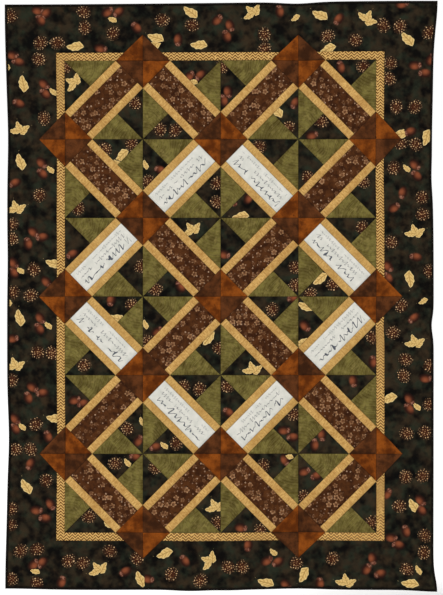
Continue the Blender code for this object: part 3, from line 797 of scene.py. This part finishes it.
def gold_weave(name, light, dark, depth):
    """Make the gold strips' cotton, with short slubs that run across the strip."""
    cloth = Cloth(name)
    along, across, _ = cloth.split(cloth.attribute("strip"))
    slubs = cloth.rise(cloth.noise(0.0105, 2.0, cloth.join(along * 2.6, across, 0.0)), 0.38, 0.62)
    drift = cloth.rise(cloth.noise(0.03, 2.0, seed=2.0), 0.3, 0.7)
    colour = cloth.mix(slubs * depth, light, dark)
    return cloth.finish(cloth.mix(drift * 0.35, colour, dark))


def zigzag(name, light, dark):
    """Make the narrow border's cotton with its small herringbone."""
    cloth = Cloth(name)
    fold = abs(cloth.math("FRACT", cloth.x / HERRINGBONE_W) - 0.5)
    along = cloth.math("FRACT", cloth.z / HERRINGBONE_H + fold * 2.0)
    stripe = cloth.rise(along, 0.36, 0.44) * cloth.fall(along, 0.86, 0.94)
    broken = cloth.rise(cloth.noise(0.0060, 1.0), 0.30, 0.42)
    return cloth.finish(cloth.mix(stripe * broken, light, dark))


def round_of(cloth, u, v):
    """Return the distance from a point's local origin and the direction to it."""
    return cloth.math("SQRT", u * u + v * v), cloth.math("ARCTAN2", v, u)


def calico(name):
    """Make the brown cotton strewn with five-petalled flowers and small buds."""
    cloth = Cloth(name)
    drift = cloth.rise(cloth.noise(0.014, 3.0), 0.3, 0.7)
    colour = cloth.mix(drift, srgb(48, 24, 10), srgb(78, 44, 20))
    flat = cloth.join(cloth.x, cloth.z, 0.0)
    for pitch, radius, share, pale, deep in CALICO_FLOWERS:
        inputs = {"Vector": flat, "Scale": 1 / pitch, "Randomness": 0.8}
        cells = cloth.add_node("ShaderNodeTexVoronoi", inputs, voronoi_dimensions="2D")
        centre = Wire(cloth, cells.outputs["Position"])
        off = cloth.node("ShaderNodeVectorMath", flat, centre, operation="SUBTRACT")
        off_x, off_z, _ = cloth.split(off)
        pick, tone, turn = cloth.split(Wire(cloth, cells.outputs["Color"]))
        away, angle = round_of(cloth, off_x, off_z)
        spread = cloth.math("COSINE", (angle + turn * 6.0) * 5.0)
        size = (radius + spread * (radius * 0.17)) * (0.7 + tone * 0.5)
        petal = cloth.rise(size - away, -0.0002, radius * 0.30)
        worn = cloth.rise(cloth.noise(0.0058, 1.0, seed=radius * 1000), 0.30, 0.52)
        shown = petal * worn * cloth.rise(pick, share, share + 0.02)
        heart = cloth.rise(radius * 0.26 - away, 0.0, radius * 0.15)
        tint = cloth.mix(cloth.rise(away, radius * 0.4, radius), deep, pale)
        colour = cloth.mix(shown * (0.40 + tone * 0.60), colour, tint)
        colour = cloth.mix(heart * shown * 0.8, colour, srgb(52, 26, 14))
    return cloth.finish(colour)


def ellipse(cloth, u, v, centre, half_w, half_h):
    """Return the scaled distance from an ellipse's centre, 1 on its outline."""
    return round_of(cloth, u / half_w, (v - centre) / half_h)[0]


def scale_tips(cloth, u, v):
    """Return 1 on the tips of a cone's scales, which sit in rings, more in each ring outwards."""
    away, angle = round_of(cloth, u, v)
    level = away * 3.8
    ring = cloth.math("FLOOR", level)
    turn = angle / math.tau * (3.0 + ring * 5.0) + ring * 0.37
    aside = cloth.math("FRACT", turn) - 0.5
    above = cloth.math("FRACT", level) - 0.55
    return cloth.fall(round_of(cloth, aside, above * 0.75)[0], 0.15, 0.28)


def cone_print(cloth, u, v):
    """Return a pine cone's mask and colour."""
    ragged = (cloth.noise(0.0040, 1.0) - 0.5) * 0.42
    body = ellipse(cloth, u, v, 0.0, 0.90, 0.99) + ragged
    drawn_u = u + (cloth.noise(0.009, 0.0, seed=2.0) - 0.5) * 0.34
    drawn_v = v + (cloth.noise(0.009, 0.0, seed=3.0) - 0.5) * 0.34
    lit = cloth.rise(cloth.noise(0.0060, 1.0, seed=6.0), 0.38, 0.58)
    outward = cloth.rise(body, 0.30, 0.75)
    tip_colour = cloth.mix(outward, srgb(186, 142, 98), srgb(194, 158, 116))
    husk = cloth.mix(outward, srgb(58, 28, 14), srgb(38, 22, 12))
    colour = cloth.mix(scale_tips(cloth, drawn_u, drawn_v) * lit, husk, tip_colour)
    return cloth.fall(body, 0.86, 0.98), colour


def nut_print(cloth, u, v):
    """Return an acorn's mask and colour, without its cup."""
    nut = ellipse(cloth, u, v, 0.06, 0.60, 0.90)
    lit_side = ellipse(cloth, u + 0.20, v, 0.10, 0.78, 0.96)
    colour = cloth.mix(cloth.rise(lit_side, 0.0, 0.80), srgb(128, 68, 42), srgb(40, 19, 13))
    return cloth.fall(nut, 0.60, 1.10), colour


def cup_print(cloth, u, v):
    """Return an acorn cup's mask and colour."""
    cup = ellipse(cloth, u, v, -0.52, 0.40, 0.26)
    bristle = cloth.rise(cloth.noise(0.0040, 1.0, seed=9.0), 0.42, 0.58)
    return cloth.fall(cup, 0.40, 1.1) * 0.7, cloth.mix(bristle, srgb(92, 46, 32), srgb(160, 110, 88))


def leaf_print(cloth, u, v):
    """Return a toothed leaf's mask and colour, with its veins and its pale rim."""
    off = abs(u + cloth.math("SINE", v * 2.1) * 0.16)
    inside = cloth.math("MAXIMUM", 1.0 - v * v, 0.0)
    teeth = cloth.math("SINE", v * 11.0) * 0.035
    width = cloth.math("POWER", inside, 0.85) * (0.52 - v * 0.22)
    midrib = cloth.fall(off, 0.02, 0.07)
    ribs = cloth.rise(cloth.math("SINE", v * 15.0 - off * 13.0), 0.45, 0.90)
    veins = cloth.math("MAXIMUM", midrib, ribs * 0.7)
    rim = cloth.fall(width - off, 0.03, 0.14)
    colour = cloth.mix(veins * 0.75, srgb(206, 172, 106), srgb(134, 98, 46))
    colour = cloth.mix(rim * 0.7, colour, srgb(230, 206, 146))
    return cloth.rise(width + teeth - off, 0.0, 0.06), colour


def dark_print(name):
    """Make the dark cotton printed with cones, acorns and leaves."""
    cloth = Cloth(name)
    green = cloth.rise(cloth.noise(0.034, 3.0), 0.42, 0.60)
    brown = cloth.rise(cloth.noise(0.030, 2.0, seed=4.0), 0.42, 0.72)
    black = cloth.rise(cloth.noise(0.026, 2.0, seed=8.0), 0.33, 0.68)
    colour = cloth.mix(green, srgb(42, 35, 24), srgb(35, 39, 28))
    colour = cloth.mix(brown * 0.5, colour, srgb(58, 42, 26))
    colour = cloth.mix(black * 0.95, colour, srgb(4, 3, 3))
    u, v, kind = cloth.split(cloth.attribute("motif"))
    motifs = (("cone", cone_print), ("acorn", nut_print), ("acorn", cup_print), ("leaf", leaf_print))
    for motif, drawn in motifs:
        mask, printed = drawn(cloth, u, v)
        chosen = cloth.math("COMPARE", kind, float(MOTIF_KINDS[motif]), 0.4)
        colour = cloth.mix(chosen * mask, colour, printed)
    return cloth.finish(colour)


def ink_row(cloth, row):
    """Return one row of looping pen strokes, broken into runs that spell nothing."""
    height, reach, pitch, nib, depth, seed = row
    along, across, block = cloth.split(cloth.attribute("strip"))
    wave_number = math.tau / pitch
    line = cloth.join(along, block * 0.37, 0.0)
    swing = cloth.rise(cloth.noise(0.012, 1.0, line, seed), 0.30, 0.70) * (reach * 1.6)
    phase = (along - across * 0.45) * wave_number
    phase = phase + cloth.noise(0.022, 0.0, line, seed + 1) * 9.0
    stroke = (cloth.math("SINE", phase) + 0.2) * swing
    fall = cloth.math("COSINE", phase)
    slope = fall * swing * wave_number
    near = abs(across - height - stroke) / cloth.math("SQRT", slope * slope + 1.0)
    weight = (1.0 + fall * -0.35) * nib
    word = cloth.rise(cloth.noise(0.026, 0.0, line, seed + 2), 0.37, 0.41)
    end = cloth.fall(abs(along), 0.088, 0.092)
    return cloth.rise(weight - near, -0.0002, 0.0002) * word * end * depth


def inked_white(name):
    """Make the white strips, with rows of looping pen strokes that spell nothing."""
    cloth = Cloth(name)
    ink = ink_row(cloth, INK_ROWS[0])
    for row in INK_ROWS[1:]:
        ink = cloth.math("MAXIMUM", ink, ink_row(cloth, row))
    drift = cloth.rise(cloth.noise(0.02, 3.0), 0.3, 0.7)
    colour = cloth.mix(drift, srgb(198, 197, 187), srgb(212, 209, 199))
    return cloth.finish(cloth.mix(ink, colour, srgb(66, 70, 80)))


def wood(name, light, dark, roughness, grain=0.0035):
    """Make wood whose grain runs along x."""
    made = Cloth(name, roughness, 0.0)
    drawn = made.join(made.x * 0.06, made.y, made.z)
    bands = made.noise(grain * 3, 4.0, drawn)
    fibres = made.noise(grain / 3, 3.0, drawn, 2.0)
    colour = made.mix(made.rise(bands, 0.35, 0.68), light, dark)
    made.set("Base Color", made.mix(made.rise(fibres, 0.5, 0.7) * 0.35, colour, dark))
    made.set("Roughness", roughness - 0.1 + fibres * 0.25)
    made.set("Normal", made.bump(fibres, 0.0002, 0.5))
    return made.material


def metal(name, colour, roughness, metallic, speckle):
    """Make coated or plated steel with a fine speckle."""
    made = Cloth(name, roughness, 0.0)
    made.set("Metallic", metallic)
    made.set("Specular IOR Level", 0.5)
    grain = made.noise(speckle, 3.0)
    wear = made.rise(made.noise(0.012, 3.0, seed=2.0), 0.55, 0.75)
    lighter = tuple(min(1.0, channel * 1.5 + 0.01) for channel in colour[:3]) + (1.0,)
    made.set("Base Color", made.mix(wear * 0.5, colour, lighter))
    made.set("Roughness", roughness - 0.08 + grain * 0.2)
    made.set("Normal", made.bump(grain, 0.00008, 0.6))
    return made.material


def fleece(name):
    """Make the batting's needled fleece."""
    cloth = Cloth(name, 1.0, 0.3)
    fluff = cloth.noise(0.004, 4.0)
    colour = cloth.mix(cloth.rise(fluff, 0.3, 0.7), srgb(222, 216, 202), srgb(240, 236, 226))
    return cloth.finish(colour, crumple=0.0008)


MATERIALS = {
    "green": quilted_green("green_cotton"),
    "rust": mottled("rust_cotton", srgb(80, 36, 6), srgb(136, 70, 18), 0.026, srgb(68, 28, 8)),
    "chocolate": mottled("chocolate_cotton", srgb(50, 26, 10), srgb(94, 52, 24), 0.026, srgb(40, 20, 8)),
    "gold": gold_weave("gold_cotton", srgb(206, 166, 99), srgb(136, 88, 30), 0.48),
    "ochre": gold_weave("ochre_cotton", srgb(200, 161, 95), srgb(140, 96, 38), 0.42),
    "brown_print": calico("brown_calico"),
    "white": inked_white("inked_white_cotton"),
    "print": dark_print("dark_print_cotton"),
    "zigzag": zigzag("zigzag_cotton", srgb(206, 165, 98), srgb(96, 60, 22)),
    "binding": mottled("binding_cotton", srgb(9, 7, 5), srgb(20, 16, 12), 0.01),
    "backing": stitched_backing("backing_cotton"),
    "sleeve": mottled("sleeve_cotton", srgb(180, 160, 126), srgb(187, 167, 133), 0.06),
    "fleece": fleece("batting_fleece"),
    "pine": wood("sealed_pine", srgb(203, 163, 112), srgb(160, 112, 66), 0.5),
    "beech": wood("waxed_beech", srgb(206, 166, 122), srgb(172, 126, 84), 0.42, 0.0022),
    "black_steel": metal("black_coated_steel", srgb(26, 26, 28), 0.5, 0.0, 0.0009),
    "zinc_steel": metal("zinc_plated_steel", srgb(190, 190, 186), 0.34, 1.0, 0.0006),
}


# --------------------------------------------------------------------- pieces


def settle(piece, node, body):
    """Put a piece on its body, in the place of its CAD node."""
    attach(piece, body)
    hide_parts(node)


def lapped(low, high):
    """Return a layer's box grown until it meets its neighbours at the seams."""
    grown = Vector((SEAM_LAP, 0, SEAM_LAP))
    return low - grown, high + grown


def block_materials(column, row):
    """Return the materials of a block's patches, in block_patch's order."""
    mirrored = (column + row) % 2 == 1
    white = (column, row) in WHITE_STRIP_BLOCKS
    rust_low = (row % 2 == 0) != mirrored
    return (
        "rust" if rust_low else "chocolate",
        "chocolate" if rust_low else "rust",
        "ochre" if white else "gold",
        "white" if white else "brown_print",
        "print" if mirrored else "green",
        "green" if mirrored else "print",
    )


def make_block(column, row, motifs):
    """Make one block of nine patches as a quilted layer."""
    node = f"block_row{row + 1}_col{column + 1}"
    low, high = lapped(*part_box(node))
    kinds = block_materials(column, row)

    def front(x, z):
        a, b = local_unit(x, z, column, row)
        stitched = valley(block_distance(a, b))
        relief = SEAM_DEPTH * stitched - PUFF * (1 - stitched)
        triangle = np.array([kinds[patch] == "green" for patch in range(6)])[block_patch(a, b)]
        relief += np.where(triangle, ECHO_DEPTH * echo_lines(a, b) * (1 - stitched), 0)
        return FRONT_Y + relief + CRUMPLE * smooth_noise(x, z, 0.014, SEED + 6)

    made, x, z, triangles = cloth_rectangle(
        f"{node}_cloth", low, high, BLOCK_CELL, BLOCK_BACK_STEP, front,
        BATTING_FRONT_Y - LAYER_GAP, [MATERIALS[kind] for kind in kinds],
    )
    a, b = local_unit(x, z, column, row)
    patches = block_patch(a[triangles].mean(axis=1), b[triangles].mean(axis=1))
    indices = np.full(len(made.data.polygons), kinds.index("print"))
    indices[: len(patches)] = patches
    made.data.polygons.foreach_set("material_index", indices)
    store_gap(made, block_distance(a, b))
    diagonal = math.hypot(BLOCK_W, BLOCK_H)
    along = (a + b - 1) / 2 * diagonal * (-1 if (column + row) % 2 else 1)
    across = (b - a) / 2 * diagonal
    number = np.full_like(a, column + COLUMNS * row)
    store(made.data, "strip", "FLOAT_VECTOR", "POINT", np.column_stack([along, across, number]))
    # The echo quilting lines, which the green cotton uses for its painted highlight and painted shade.
    store(made.data, "stitch", "FLOAT", "POINT", echo_lines(a, b))
    store_motifs(made.data, x, z, triangles, motifs)
    settle(made, node, "quilt")


def local_unit(x, z, column, row):
    """Return a block's unit coordinates, with the band from lower left to upper right."""
    a = np.clip((x - FIELD_LEFT) / BLOCK_W - column, 0, 1)
    b = np.clip(1 + row - (FIELD_TOP - z) / BLOCK_H, 0, 1)
    return (1 - a if (column + row) % 2 else a), b


def make_borders():
    """Make the narrow zigzag border and the wide printed border."""
    motifs = print_motifs(BORDER_PLACES)
    rings = (
        ("narrow_border", "zigzag", "narrow_border_cloth", False),
        ("outer_border", "print", "dark_print_cloth", True),
    )
    for ring, material, slot, quilted in rings:
        for side in ("left", "right", "top", "bottom"):
            node = f"{ring}_{side}"
            low, high = lapped(*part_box(node))

            def front(x, z):
                return FRONT_Y + border_relief(x, z, quilted)

            made, x, z, triangles = cloth_rectangle(
                f"{node}_cloth", low, high, BORDER_CELL, BACK_STEP, front,
                BATTING_FRONT_Y - LAYER_GAP, [MATERIALS[material]],
            )
            store_gap(made, frame_gap(x, z))
            if quilted:
                store_motifs(made.data, x, z, triangles, motifs)
            settle(made, node, "quilt")


def point_mesh(half_side):
    """Return a point's places sideways, outwards and from base to tip, and its triangles."""
    unit, triangles = cell_grid(*POINT_CELLS)
    sideways, outward = (unit[:, 0] * 2 - 1) * half_side, unit[:, 1] * POINT_REACH
    depth = np.abs(sideways) / half_side + outward / POINT_REACH
    triangles = triangles[depth[triangles].mean(axis=1) < 1]
    used, compact = np.unique(triangles, return_inverse=True)
    return sideways[used], outward[used], depth[used], compact.reshape(-1, 3)


def make_points():
    """Make the points that cross the borders, each of two patches."""
    for name, (base_x, base_z), (out_x, out_z) in point_list():
        half_side = CORNER_LEG * (BLOCK_W if out_z else BLOCK_H)
        sideways, outward, depth, triangles = point_mesh(half_side)
        x = base_x + sideways * out_z + outward * out_x
        z = base_z - sideways * out_x + outward * out_z
        gap = np.minimum(np.abs(sideways), (1 - depth) * POINT_REACH / math.sqrt(2))
        gap = np.clip(np.minimum(gap, outward), 0, None)
        relief = (POINT_PUFF + POINT_SEAM_DEPTH) * valley(gap, POINT_VALLEY) - POINT_PUFF
        back = np.full_like(x, FRONT_Y + POINT_BACK_DEPTH)
        points = np.concatenate([hung_points(x, FRONT_Y + relief, z), hung_points(x, back, z)])
        patches = [MATERIALS[patch] for patch in point_colours(name)]
        made = make_mesh(f"{name}_cloth", points, thin_faces(triangles, len(x)), patches)
        middle_x, middle_z = x[triangles].mean(axis=1), z[triangles].mean(axis=1)
        second = middle_z < base_z if out_x else middle_x > base_x
        indices = np.zeros(len(made.data.polygons), int)
        indices[: 2 * len(second)] = np.tile(second, 2)
        made.data.polygons.foreach_set("material_index", indices)
        store_gap(made, gap)
        settle(made, name, "quilt")
        2 * half_side
        half_side * POINT_REACH


def point_colours(name):
    """Return the two patches' materials: left then right, or upper then lower."""
    if name.startswith("point_top") or name.startswith("point_right"):
        return "rust", "chocolate"
    return "chocolate", "rust"


def thin_faces(triangles, count):
    """Return a sheet's faces with its back count points later and a rim between."""
    faces = triangles.tolist()
    faces += (triangles[:, ::-1] + count).tolist()
    edges = np.concatenate([triangles[:, [0, 1]], triangles[:, [1, 2]], triangles[:, [2, 0]]])
    paired = {(a, b) for a, b in edges.tolist()}
    for a, b in edges.tolist():
        if (b, a) not in paired:
            faces.append((b, a, a + count, b + count))
    return faces


def backing_relief(x, z):
    """Return how the quilting pulls the backing in towards the room."""
    a, b = block_unit(x, z)
    in_field = (x > FIELD_LEFT) & (x < FIELD_RIGHT) & (z > FIELD_BOTTOM) & (z < FIELD_TOP)
    stitched = valley(block_distance(a, b), BACKING_VALLEY)
    lines = np.where(in_field, stitched, meander(x, z) * 0.7)
    lines = np.maximum(lines, valley(frame_gap(x, z), BACKING_VALLEY))
    inside = np.minimum(SLEEVE_HIGH.z - z, z - SLEEVE_LOW.z)
    pressed = smooth_step(inside + PRESSED_MARGIN, -PRESSED_BLEND, 0)
    inside = SLEEVE_HIGH.x - CENTRE_X - np.abs(x - CENTRE_X)
    pressed = pressed * smooth_step(inside + PRESSED_MARGIN, -PRESSED_BLEND, 0)
    loft = BACKING_PUFF * (1 - lines) - BACKING_DIP * lines
    return loft * (1 - pressed) - LAYER_GAP * pressed


def make_inner_layers():
    """Make the batting and the backing."""
    low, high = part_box("batting")
    batting, _, _, _ = cloth_rectangle(
        "batting_fleece", low, high, BATTING_CELL, BACK_STEP,
        lambda x, z: np.full_like(x, BATTING_FRONT_Y + LAYER_GAP),
        BATTING_BACK_Y - LAYER_GAP, [MATERIALS["fleece"]],
    )
    store_gap(batting)
    settle(batting, "batting", "quilt")
    low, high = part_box("backing")
    backing, _, _, _ = cloth_rectangle(
        "backing_cloth", low, high, BACKING_CELL, BACK_STEP,
        lambda x, z: BACKING_BACK_Y + backing_relief(x, z),
        BACKING_FRONT_Y, [MATERIALS["backing"]], facing=1,
    )
    store_gap(backing)
    settle(backing, "backing", "quilt")


def binding_section():
    """Return the rolled strip's section as (depth in from the edge, y) points."""
    front, back = (corner.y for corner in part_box("binding_left"))
    middle, roll = (front + back) / 2, (back - front) / 2
    shown = [(BINDING_W, -roll + HEM_DIP), (BINDING_W * 0.8, -roll)]
    for step in range(ROLL_STEPS + 1):
        angle = math.pi * (step / ROLL_STEPS - 0.5)
        shown.append((roll * ROLL_BULGE * (1 - math.cos(angle)), roll * math.sin(angle)))
    shown += [(depth, -y) for depth, y in reversed(shown[:2])]
    hidden = [
        (BINDING_W, roll - HEM_DIP - CLOTH_T),
        (BINDING_W * 0.5, roll - CLOTH_T - 0.0001),
        (CLOTH_T + 0.0004, roll - 0.0022),
    ]
    hidden += [(depth, -y) for depth, y in reversed(hidden)]
    return [(depth, middle + y) for depth, y in shown + hidden]


def make_binding():
    """Make the four folded strips, mitred where they meet."""
    section = binding_section()
    for side in ("left", "right", "top", "bottom"):
        level = side in ("top", "bottom")
        half, across = (HALF_W, HALF_H) if level else (HALF_H, HALF_W)
        sign = 1 if side in ("right", "top") else -1
        steps = round(2 * half / BINDING_CELL)
        run = np.linspace(-1, 1, steps + 1)[:, None]
        depth = np.array([place for place, _ in section])[None, :]
        y = np.array([place for _, place in section])[None, :] + 0 * run
        along = run * (half - depth - 0.0001)
        y = y - PUCKER * np.sin(along * 410 + 2 * np.sin(along * 37)) * (depth > BINDING_W * 0.6)
        away = sign * (across - depth) + 0 * run
        x, z = (CENTRE_X + along, CENTRE_Z + away) if level else (CENTRE_X + away, CENTRE_Z + along)
        points = hung_points(x.ravel(), y.ravel(), z.ravel())
        count = len(section)
        flip = (sign > 0) != level
        faces = []
        for step in range(steps):
            for k in range(count):
                after = (k + 1) % count
                a, b = step * count + k, step * count + after
                face = (a, b, b + count, a + count)
                faces.append(face if flip else face[::-1])
        start, finish = list(range(count)), list(range(steps * count, (steps + 1) * count))
        faces += [start[::-1], finish] if flip else [start, finish[::-1]]
        made = make_mesh(f"binding_{side}_cloth", points, faces, [MATERIALS["binding"]])
        store_gap(made)
        settle(made, f"binding_{side}", "quilt")


def sleeve_section(grown):
    """Return the sleeve's section, grown outwards, as (y, z) points round the rod's axis."""
    front = SLEEVE_LOW.y + 0.0001 + CLOTH_T - grown - ROD_AXIS.y
    radius = ROD_R + ROD_SLACK + grown
    bottom = SLEEVE_LOW.z - ROD_AXIS.z + HEM_RISE - grown
    top = Vector((front, SLEEVE_SEAM_Z + grown))
    tail = Vector((front + 0.0030 + 2 * grown, bottom + 0.0020))
    points = [tuple(top)]
    for step in range(1, 7):
        points.append((front, SLEEVE_SEAM_Z - (SLEEVE_SEAM_Z - bottom) * step / 7))
    points += [(front, bottom), (front + 0.0022 + grown, bottom)]
    first = math.atan2(tail.y, tail.x) + math.acos(radius / tail.length)
    last = math.atan2(top.y, top.x) - math.acos(radius / top.length)
    touch = Vector((radius * math.cos(first), radius * math.sin(first)))
    for step in range(SLEEVE_STEPS):
        points.append(tuple(tail.lerp(touch, step / SLEEVE_STEPS)))
    for step in range(SLEEVE_STEPS + 1):
        angle = first + (last - first) * step / SLEEVE_STEPS
        points.append((radius * math.cos(angle), radius * math.sin(angle)))
    return np.array(points)


def sleeve_ring(section, x):
    """Return the sleeve's points on a section at each x, slack below the rod."""
    y = np.repeat(section[None, :, 0], len(x), axis=0)
    z = np.repeat(section[None, :, 1], len(x), axis=0)
    slack = smooth_step(-z, 0.016, 0.05) * (y > section[:, 0].min() + 0.004)
    folds = 0.0016 * np.sin(x * 31 + 1.4 * np.sin(x * 9)) + 0.0011 * np.sin(x * 83 + 1.0)
    y = ROD_AXIS.y + y + slack * folds[:, None]
    across = np.repeat(x[:, None], len(section), axis=1)
    return np.stack([across, y, ROD_AXIS.z + z], axis=2).reshape(-1, 3)


def make_sleeve():
    """Make the tube that the rod runs through, hemmed at its ends and slack below the rod."""
    length = SLEEVE_HIGH.x - SLEEVE_LOW.x
    steps = round(length / SLEEVE_CELL)
    x = SLEEVE_LOW.x + np.linspace(0, 1, steps + 1) * length
    inner, outer = sleeve_section(0.0), sleeve_section(CLOTH_T)
    count = len(inner)
    size, last = (steps + 1) * count, steps * count
    points = np.concatenate([sleeve_ring(inner, x), sleeve_ring(outer, x)])
    faces = []
    for k in range(count):
        after = (k + 1) % count
        for start in range(0, last, count):
            a, b = start + k, start + after
            faces.append((a, b, b + count, a + count))
            faces.append((a + size + count, b + size + count, b + size, a + size))
        faces.append((k, k + size, after + size, after))
        faces.append((last + after, last + after + size, last + k + size, last + k))
    made = make_mesh("hanging_sleeve_cloth", points, faces, [MATERIALS["sleeve"]])
    store_gap(made)
    settle(made, "hanging_sleeve", "quilt")


def finish_hardware():
    """Give the CAD rail, rod, brackets and screws their materials."""
    finishes = {"wall_rail": "pine", "hanging_rod": "beech"}
    for side in ("left", "right"):
        finishes[f"bracket_{side}"] = "black_steel"
        for level in ("upper", "lower"):
            finishes[f"bracket_screw_{side}_{level}"] = "zinc_steel"
    for node, material in finishes.items():
        mesh = frame["nodes"][node].data
        mesh.materials.clear()
        mesh.materials.append(MATERIALS[material])


# ------------------------------------------------------------------ the studio


FLOOR_DROP = 0.28
FLOOR_REACH = 14.0
FLOOR_GREYS = ((0.90, 0.90, 0.90, 1), (0.94, 0.94, 0.94, 1))
SKY_STRENGTH = 0.5
# Suns: name, turn in degrees, strength and the angle they spread over.
SUNS = (
    ("key", (42, 0, -38), 1.9, 14),
    ("fill", (60, 0, 55), 0.5, 40),
    ("back", (50, 0, 200), 1.2, 30),
)
# The camera's distance, the height it sees at the quilt, and where it stands
# from the quilt's centre.
CAMERA_DISTANCE = 4.2
SEEN_HEIGHT = 1.7404
CAMERA_OFFSET = (0.0026, -0.0029)
SENSOR_W = 36.0


def make_floor():
    """Make the pale floor."""
    mesh = bpy.data.meshes.new("floor")
    low, high, level = -FLOOR_REACH, FLOOR_REACH, QUILT_BOTTOM - FLOOR_DROP
    corners = [(low, low, level), (high, low, level), (high, high, level), (low, high, level)]
    mesh.from_pydata(corners, [], [(0, 1, 2, 3)])
    floor = bpy.data.objects.new("floor", mesh)
    bpy.context.scene.collection.objects.link(floor)
    pale = Cloth("pale_floor", 0.8, 0.0)
    pale.set("Base Color", pale.mix(pale.rise(pale.noise(0.4, 3.0), 0.2, 0.8), *FLOOR_GREYS))
    mesh.materials.append(pale.material)


def make_lights():
    """Make the soft suns and the surroundings, white to the camera and dimmer as light."""
    for name, turn, strength, spread in SUNS:
        light = bpy.data.lights.new(f"{name}_light", "SUN")
        light.energy = strength
        light.angle = math.radians(spread)
        lamp = bpy.data.objects.new(f"{name}_light", light)
        lamp.rotation_euler = [math.radians(angle) for angle in turn]
        bpy.context.scene.collection.objects.link(lamp)
    world = bpy.data.worlds.new("white_studio")
    bpy.context.scene.world = world
    world.use_nodes = True
    tree = world.node_tree
    background = tree.nodes["Background"]
    background.inputs["Color"].default_value = (1, 1, 1, 1)
    sight = tree.nodes.new("ShaderNodeLightPath")
    strength = tree.nodes.new("ShaderNodeMapRange")
    tree.links.new(sight.outputs["Is Camera Ray"], strength.inputs["Value"])
    strength.inputs["To Min"].default_value = SKY_STRENGTH
    strength.inputs["To Max"].default_value = 1.0
    tree.links.new(strength.outputs["Result"], background.inputs["Strength"])
    bpy.context.scene.view_settings.view_transform = "Standard"


def make_camera():
    """Make the camera, square on to the quilt."""
    camera = bpy.data.cameras.new("camera")
    camera.sensor_fit = "AUTO"
    camera.sensor_width = SENSOR_W
    camera.lens = SENSOR_W * CAMERA_DISTANCE / SEEN_HEIGHT
    made = bpy.data.objects.new("camera", camera)
    right, up = CAMERA_OFFSET
    made.location = (CENTRE_X + right, FRONT_Y - CAMERA_DISTANCE, CENTRE_Z + up)
    made.rotation_euler = (math.radians(90), 0, 0)
    bpy.context.scene.collection.objects.link(made)
    bpy.context.scene.camera = made


def main():
    """Dress the frame and set the scene."""
    make_camera()
    make_inner_layers()
    motifs = print_motifs(FIELD_PLACES)
    for row in range(ROWS):
        for column in range(COLUMNS):
            make_block(column, row, motifs)
    make_borders()
    make_points()
    make_binding()
    make_sleeve()
    finish_hardware()
    make_floor()
    make_lights()


main()
